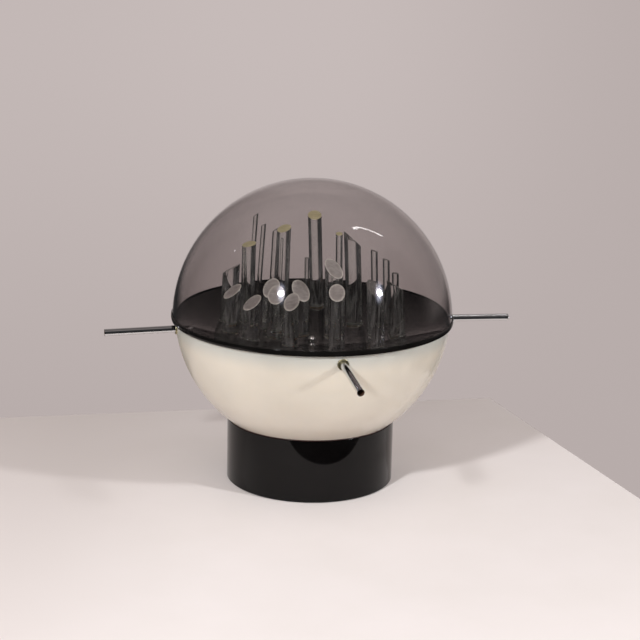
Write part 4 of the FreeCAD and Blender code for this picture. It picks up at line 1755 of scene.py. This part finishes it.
@dataclass
class Studio:
    """Slab, surroundings and lamps as the photograph shows them."""

    wall: str = "#C6BBB9"
    wall_changes: tuple[ToneChange, ...] = (
        ToneChange("#C3B8B6", "X", -0.03, -0.17),
        ToneChange("#B9AEAC", "X", 0.0, 0.2),
        ToneChange("#B7ACAA", "Z", -0.10, -0.36),
    )
    backdrop: ToneChange = ToneChange("#A29997", "Z", 0.05, 0.28)         # above what the photograph shows
    side_foot: ToneChange = ToneChange("#363637", "Z", -0.03, -0.18)      # dark under both sides
    left_side: ToneChange = ToneChange("#7C7473", "X", -0.15, -0.33)
    left_end: ToneChange = ToneChange("#363637", "X", -0.68, -0.80)
    right_side: ToneChange = ToneChange("#9E9694", "X", 0.35, 0.5)
    mirrored_changes: tuple[ToneChange, ...] = (
        ToneChange("#363637", "X", 0.88, 1.0),
        ToneChange("#363637", "Y", 0.25, -0.05),
        ToneChange("#857E7D", "Z", 0.60, 0.78),
        ToneChange("#615B59", "Z", 0.93, 0.985),
    )
    ambient: str = "#A59B97"
    corners: tuple[Point2, ...] = ((-2.4, -3.2), (0.30, -3.2), (1.3, -2.3), (0.2985, 0.389), (-2.4, -0.1551))
    thickness: float = 0.9
    edge: float = 0.002

    def slab(self) -> None:
        """Build the slab with a softly rounded top edge."""
        mesh = bpy.data.meshes.new("slab")
        shape = bmesh.new()
        top = shape.faces.new([shape.verts.new((x, y, 0.0)) for x, y in self.corners])
        bmesh.ops.recalc_face_normals(shape, faces=[top])
        walls = bmesh.ops.extrude_face_region(shape, geom=[top])
        low = [v for v in walls["geom"] if isinstance(v, bmesh.types.BMVert)]
        bmesh.ops.translate(shape, verts=low, vec=(0.0, 0.0, -self.thickness))
        bmesh.ops.recalc_face_normals(shape, faces=shape.faces)
        edges = [e for e in shape.edges if all(v.co.z > -1e-6 for v in e.verts)]
        bmesh.ops.bevel(shape, geom=edges, offset=self.edge, segments=3, affect="EDGES", clamp_overlap=True)
        shape.to_mesh(mesh)
        shape.free()
        mesh.materials.append(Slab("white_slab").material())
        floor = bpy.data.objects.new("slab", mesh)
        bpy.context.scene.collection.objects.link(floor)
        floor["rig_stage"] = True

    def surroundings(self) -> None:
        """Make the world: a pale wall behind, a dark studio in front above the horizon, plain soft light."""
        world = bpy.data.worlds.new("studio")
        bpy.context.scene.world = world
        world.use_nodes = True
        tree = world.node_tree
        tree.nodes.clear()
        direction = add_node(tree, "ShaderNodeTexCoord").outputs["Generated"]
        level = {0: direction, 1: (1.0, 1.0, 0.0)}
        flat = {0: add_node(tree, "ShaderNodeVectorMath", level, operation="MULTIPLY").outputs["Vector"]}
        horizon = {0: add_node(tree, "ShaderNodeVectorMath", flat, operation="NORMALIZE").outputs["Vector"]}
        turn = add_node(tree, "ShaderNodeSeparateXYZ", horizon).outputs
        height = add_node(tree, "ShaderNodeSeparateXYZ", {0: direction}).outputs["Z"]
        ways = {"X": turn["X"], "Y": turn["Y"], "Z": height}

        def lay(under: Shader | tuple, change: ToneChange, tone: Shader | None = None) -> Shader:
            """Lay a change over a colour, with its own tone or with another that is drawn already."""
            laid = hex_colour(change.tone) if tone is None else tone
            return lay_tone(tree, under, laid, ways[change.along], change.start, change.end)

        wall = hex_colour(self.wall)
        for change in self.wall_changes:
            wall = lay(wall, change)
        mirrored = lay(wall, self.backdrop)
        mirrored = lay(mirrored, self.left_side, lay(hex_colour(self.left_side.tone), self.side_foot))
        mirrored = lay(mirrored, self.left_end)
        mirrored = lay(mirrored, self.right_side, lay(hex_colour(self.right_side.tone), self.side_foot))
        for change in self.mirrored_changes:
            mirrored = lay(mirrored, change)
        rays = add_node(tree, "ShaderNodeLightPath").outputs
        seen = mirrored
        for ray, colour in (("Is Diffuse Ray", hex_colour(self.ambient)), ("Is Camera Ray", wall)):
            views = {0: rays[ray], 6: seen, 7: colour}
            seen = add_node(tree, "ShaderNodeMix", views, data_type="RGBA").outputs[2]
        background = add_node(tree, "ShaderNodeBackground", {"Color": seen, "Strength": 1.0})
        add_node(tree, "ShaderNodeOutputWorld", {"Surface": background.outputs["Background"]})

    def build(self) -> None:
        """Build the slab, the surroundings and the lamps."""
        self.slab()
        self.surroundings()
        glow = {"width": 0.50, "height": 1.15, "radiance": 12.0, "round_face": True, "colour": "#E4E8FF",
                "soft": True}
        lamps = [
            StudioLamp("left_front_lamp", -118.47, 30.62, 2.589, 0.21, 0.21, 390.0, True),
            StudioLamp("left_front_glow", -118.47, 30.62, 2.65, roll=15.8, **glow),
            StudioLamp("right_front_lamp", -29.56, 25.86, 2.570, 0.21, 0.21, 264.0, True),
            StudioLamp("right_front_glow", -29.56, 25.86, 2.63, roll=-31.9, **glow),
            StudioLamp("back_right_strip", 22.2, 54.2, 2.633, 0.045, 0.69, 9.0),
            StudioLamp("back_right_strip_end", 18.9, 63.8, 2.638, 0.075, 0.22, 11.0, roll=32.0),
        ]
        for lamp in lamps:
            lamp.build()
        scene = bpy.context.scene
        scene.view_settings.view_transform = "Standard"
        scene.cycles.max_bounces = 40
        scene.cycles.transmission_bounces = 40
        scene.cycles.transparent_max_bounces = 40
        scene.cycles.glossy_bounces = 8


def main() -> None:
    """Build the camera, the studio and the lamp."""
    logging.basicConfig(level=logging.INFO, format="%(message)s")
    Camera().build()
    Studio().build()
    bowl = Bowl()
    bowl.build()
    Base().build(bowl)
    rods = GlassRods()
    Tray().build(bowl, rods)
    rods.build()
    Dome().build()
    SideTubes().build(bowl)
    LampWorks().build()
    corners = {"cad": cad_box, "visual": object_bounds()}
    {key: [list(c) for c in value] for key, value in corners.items()}


if __name__ == "__main__":
    main()
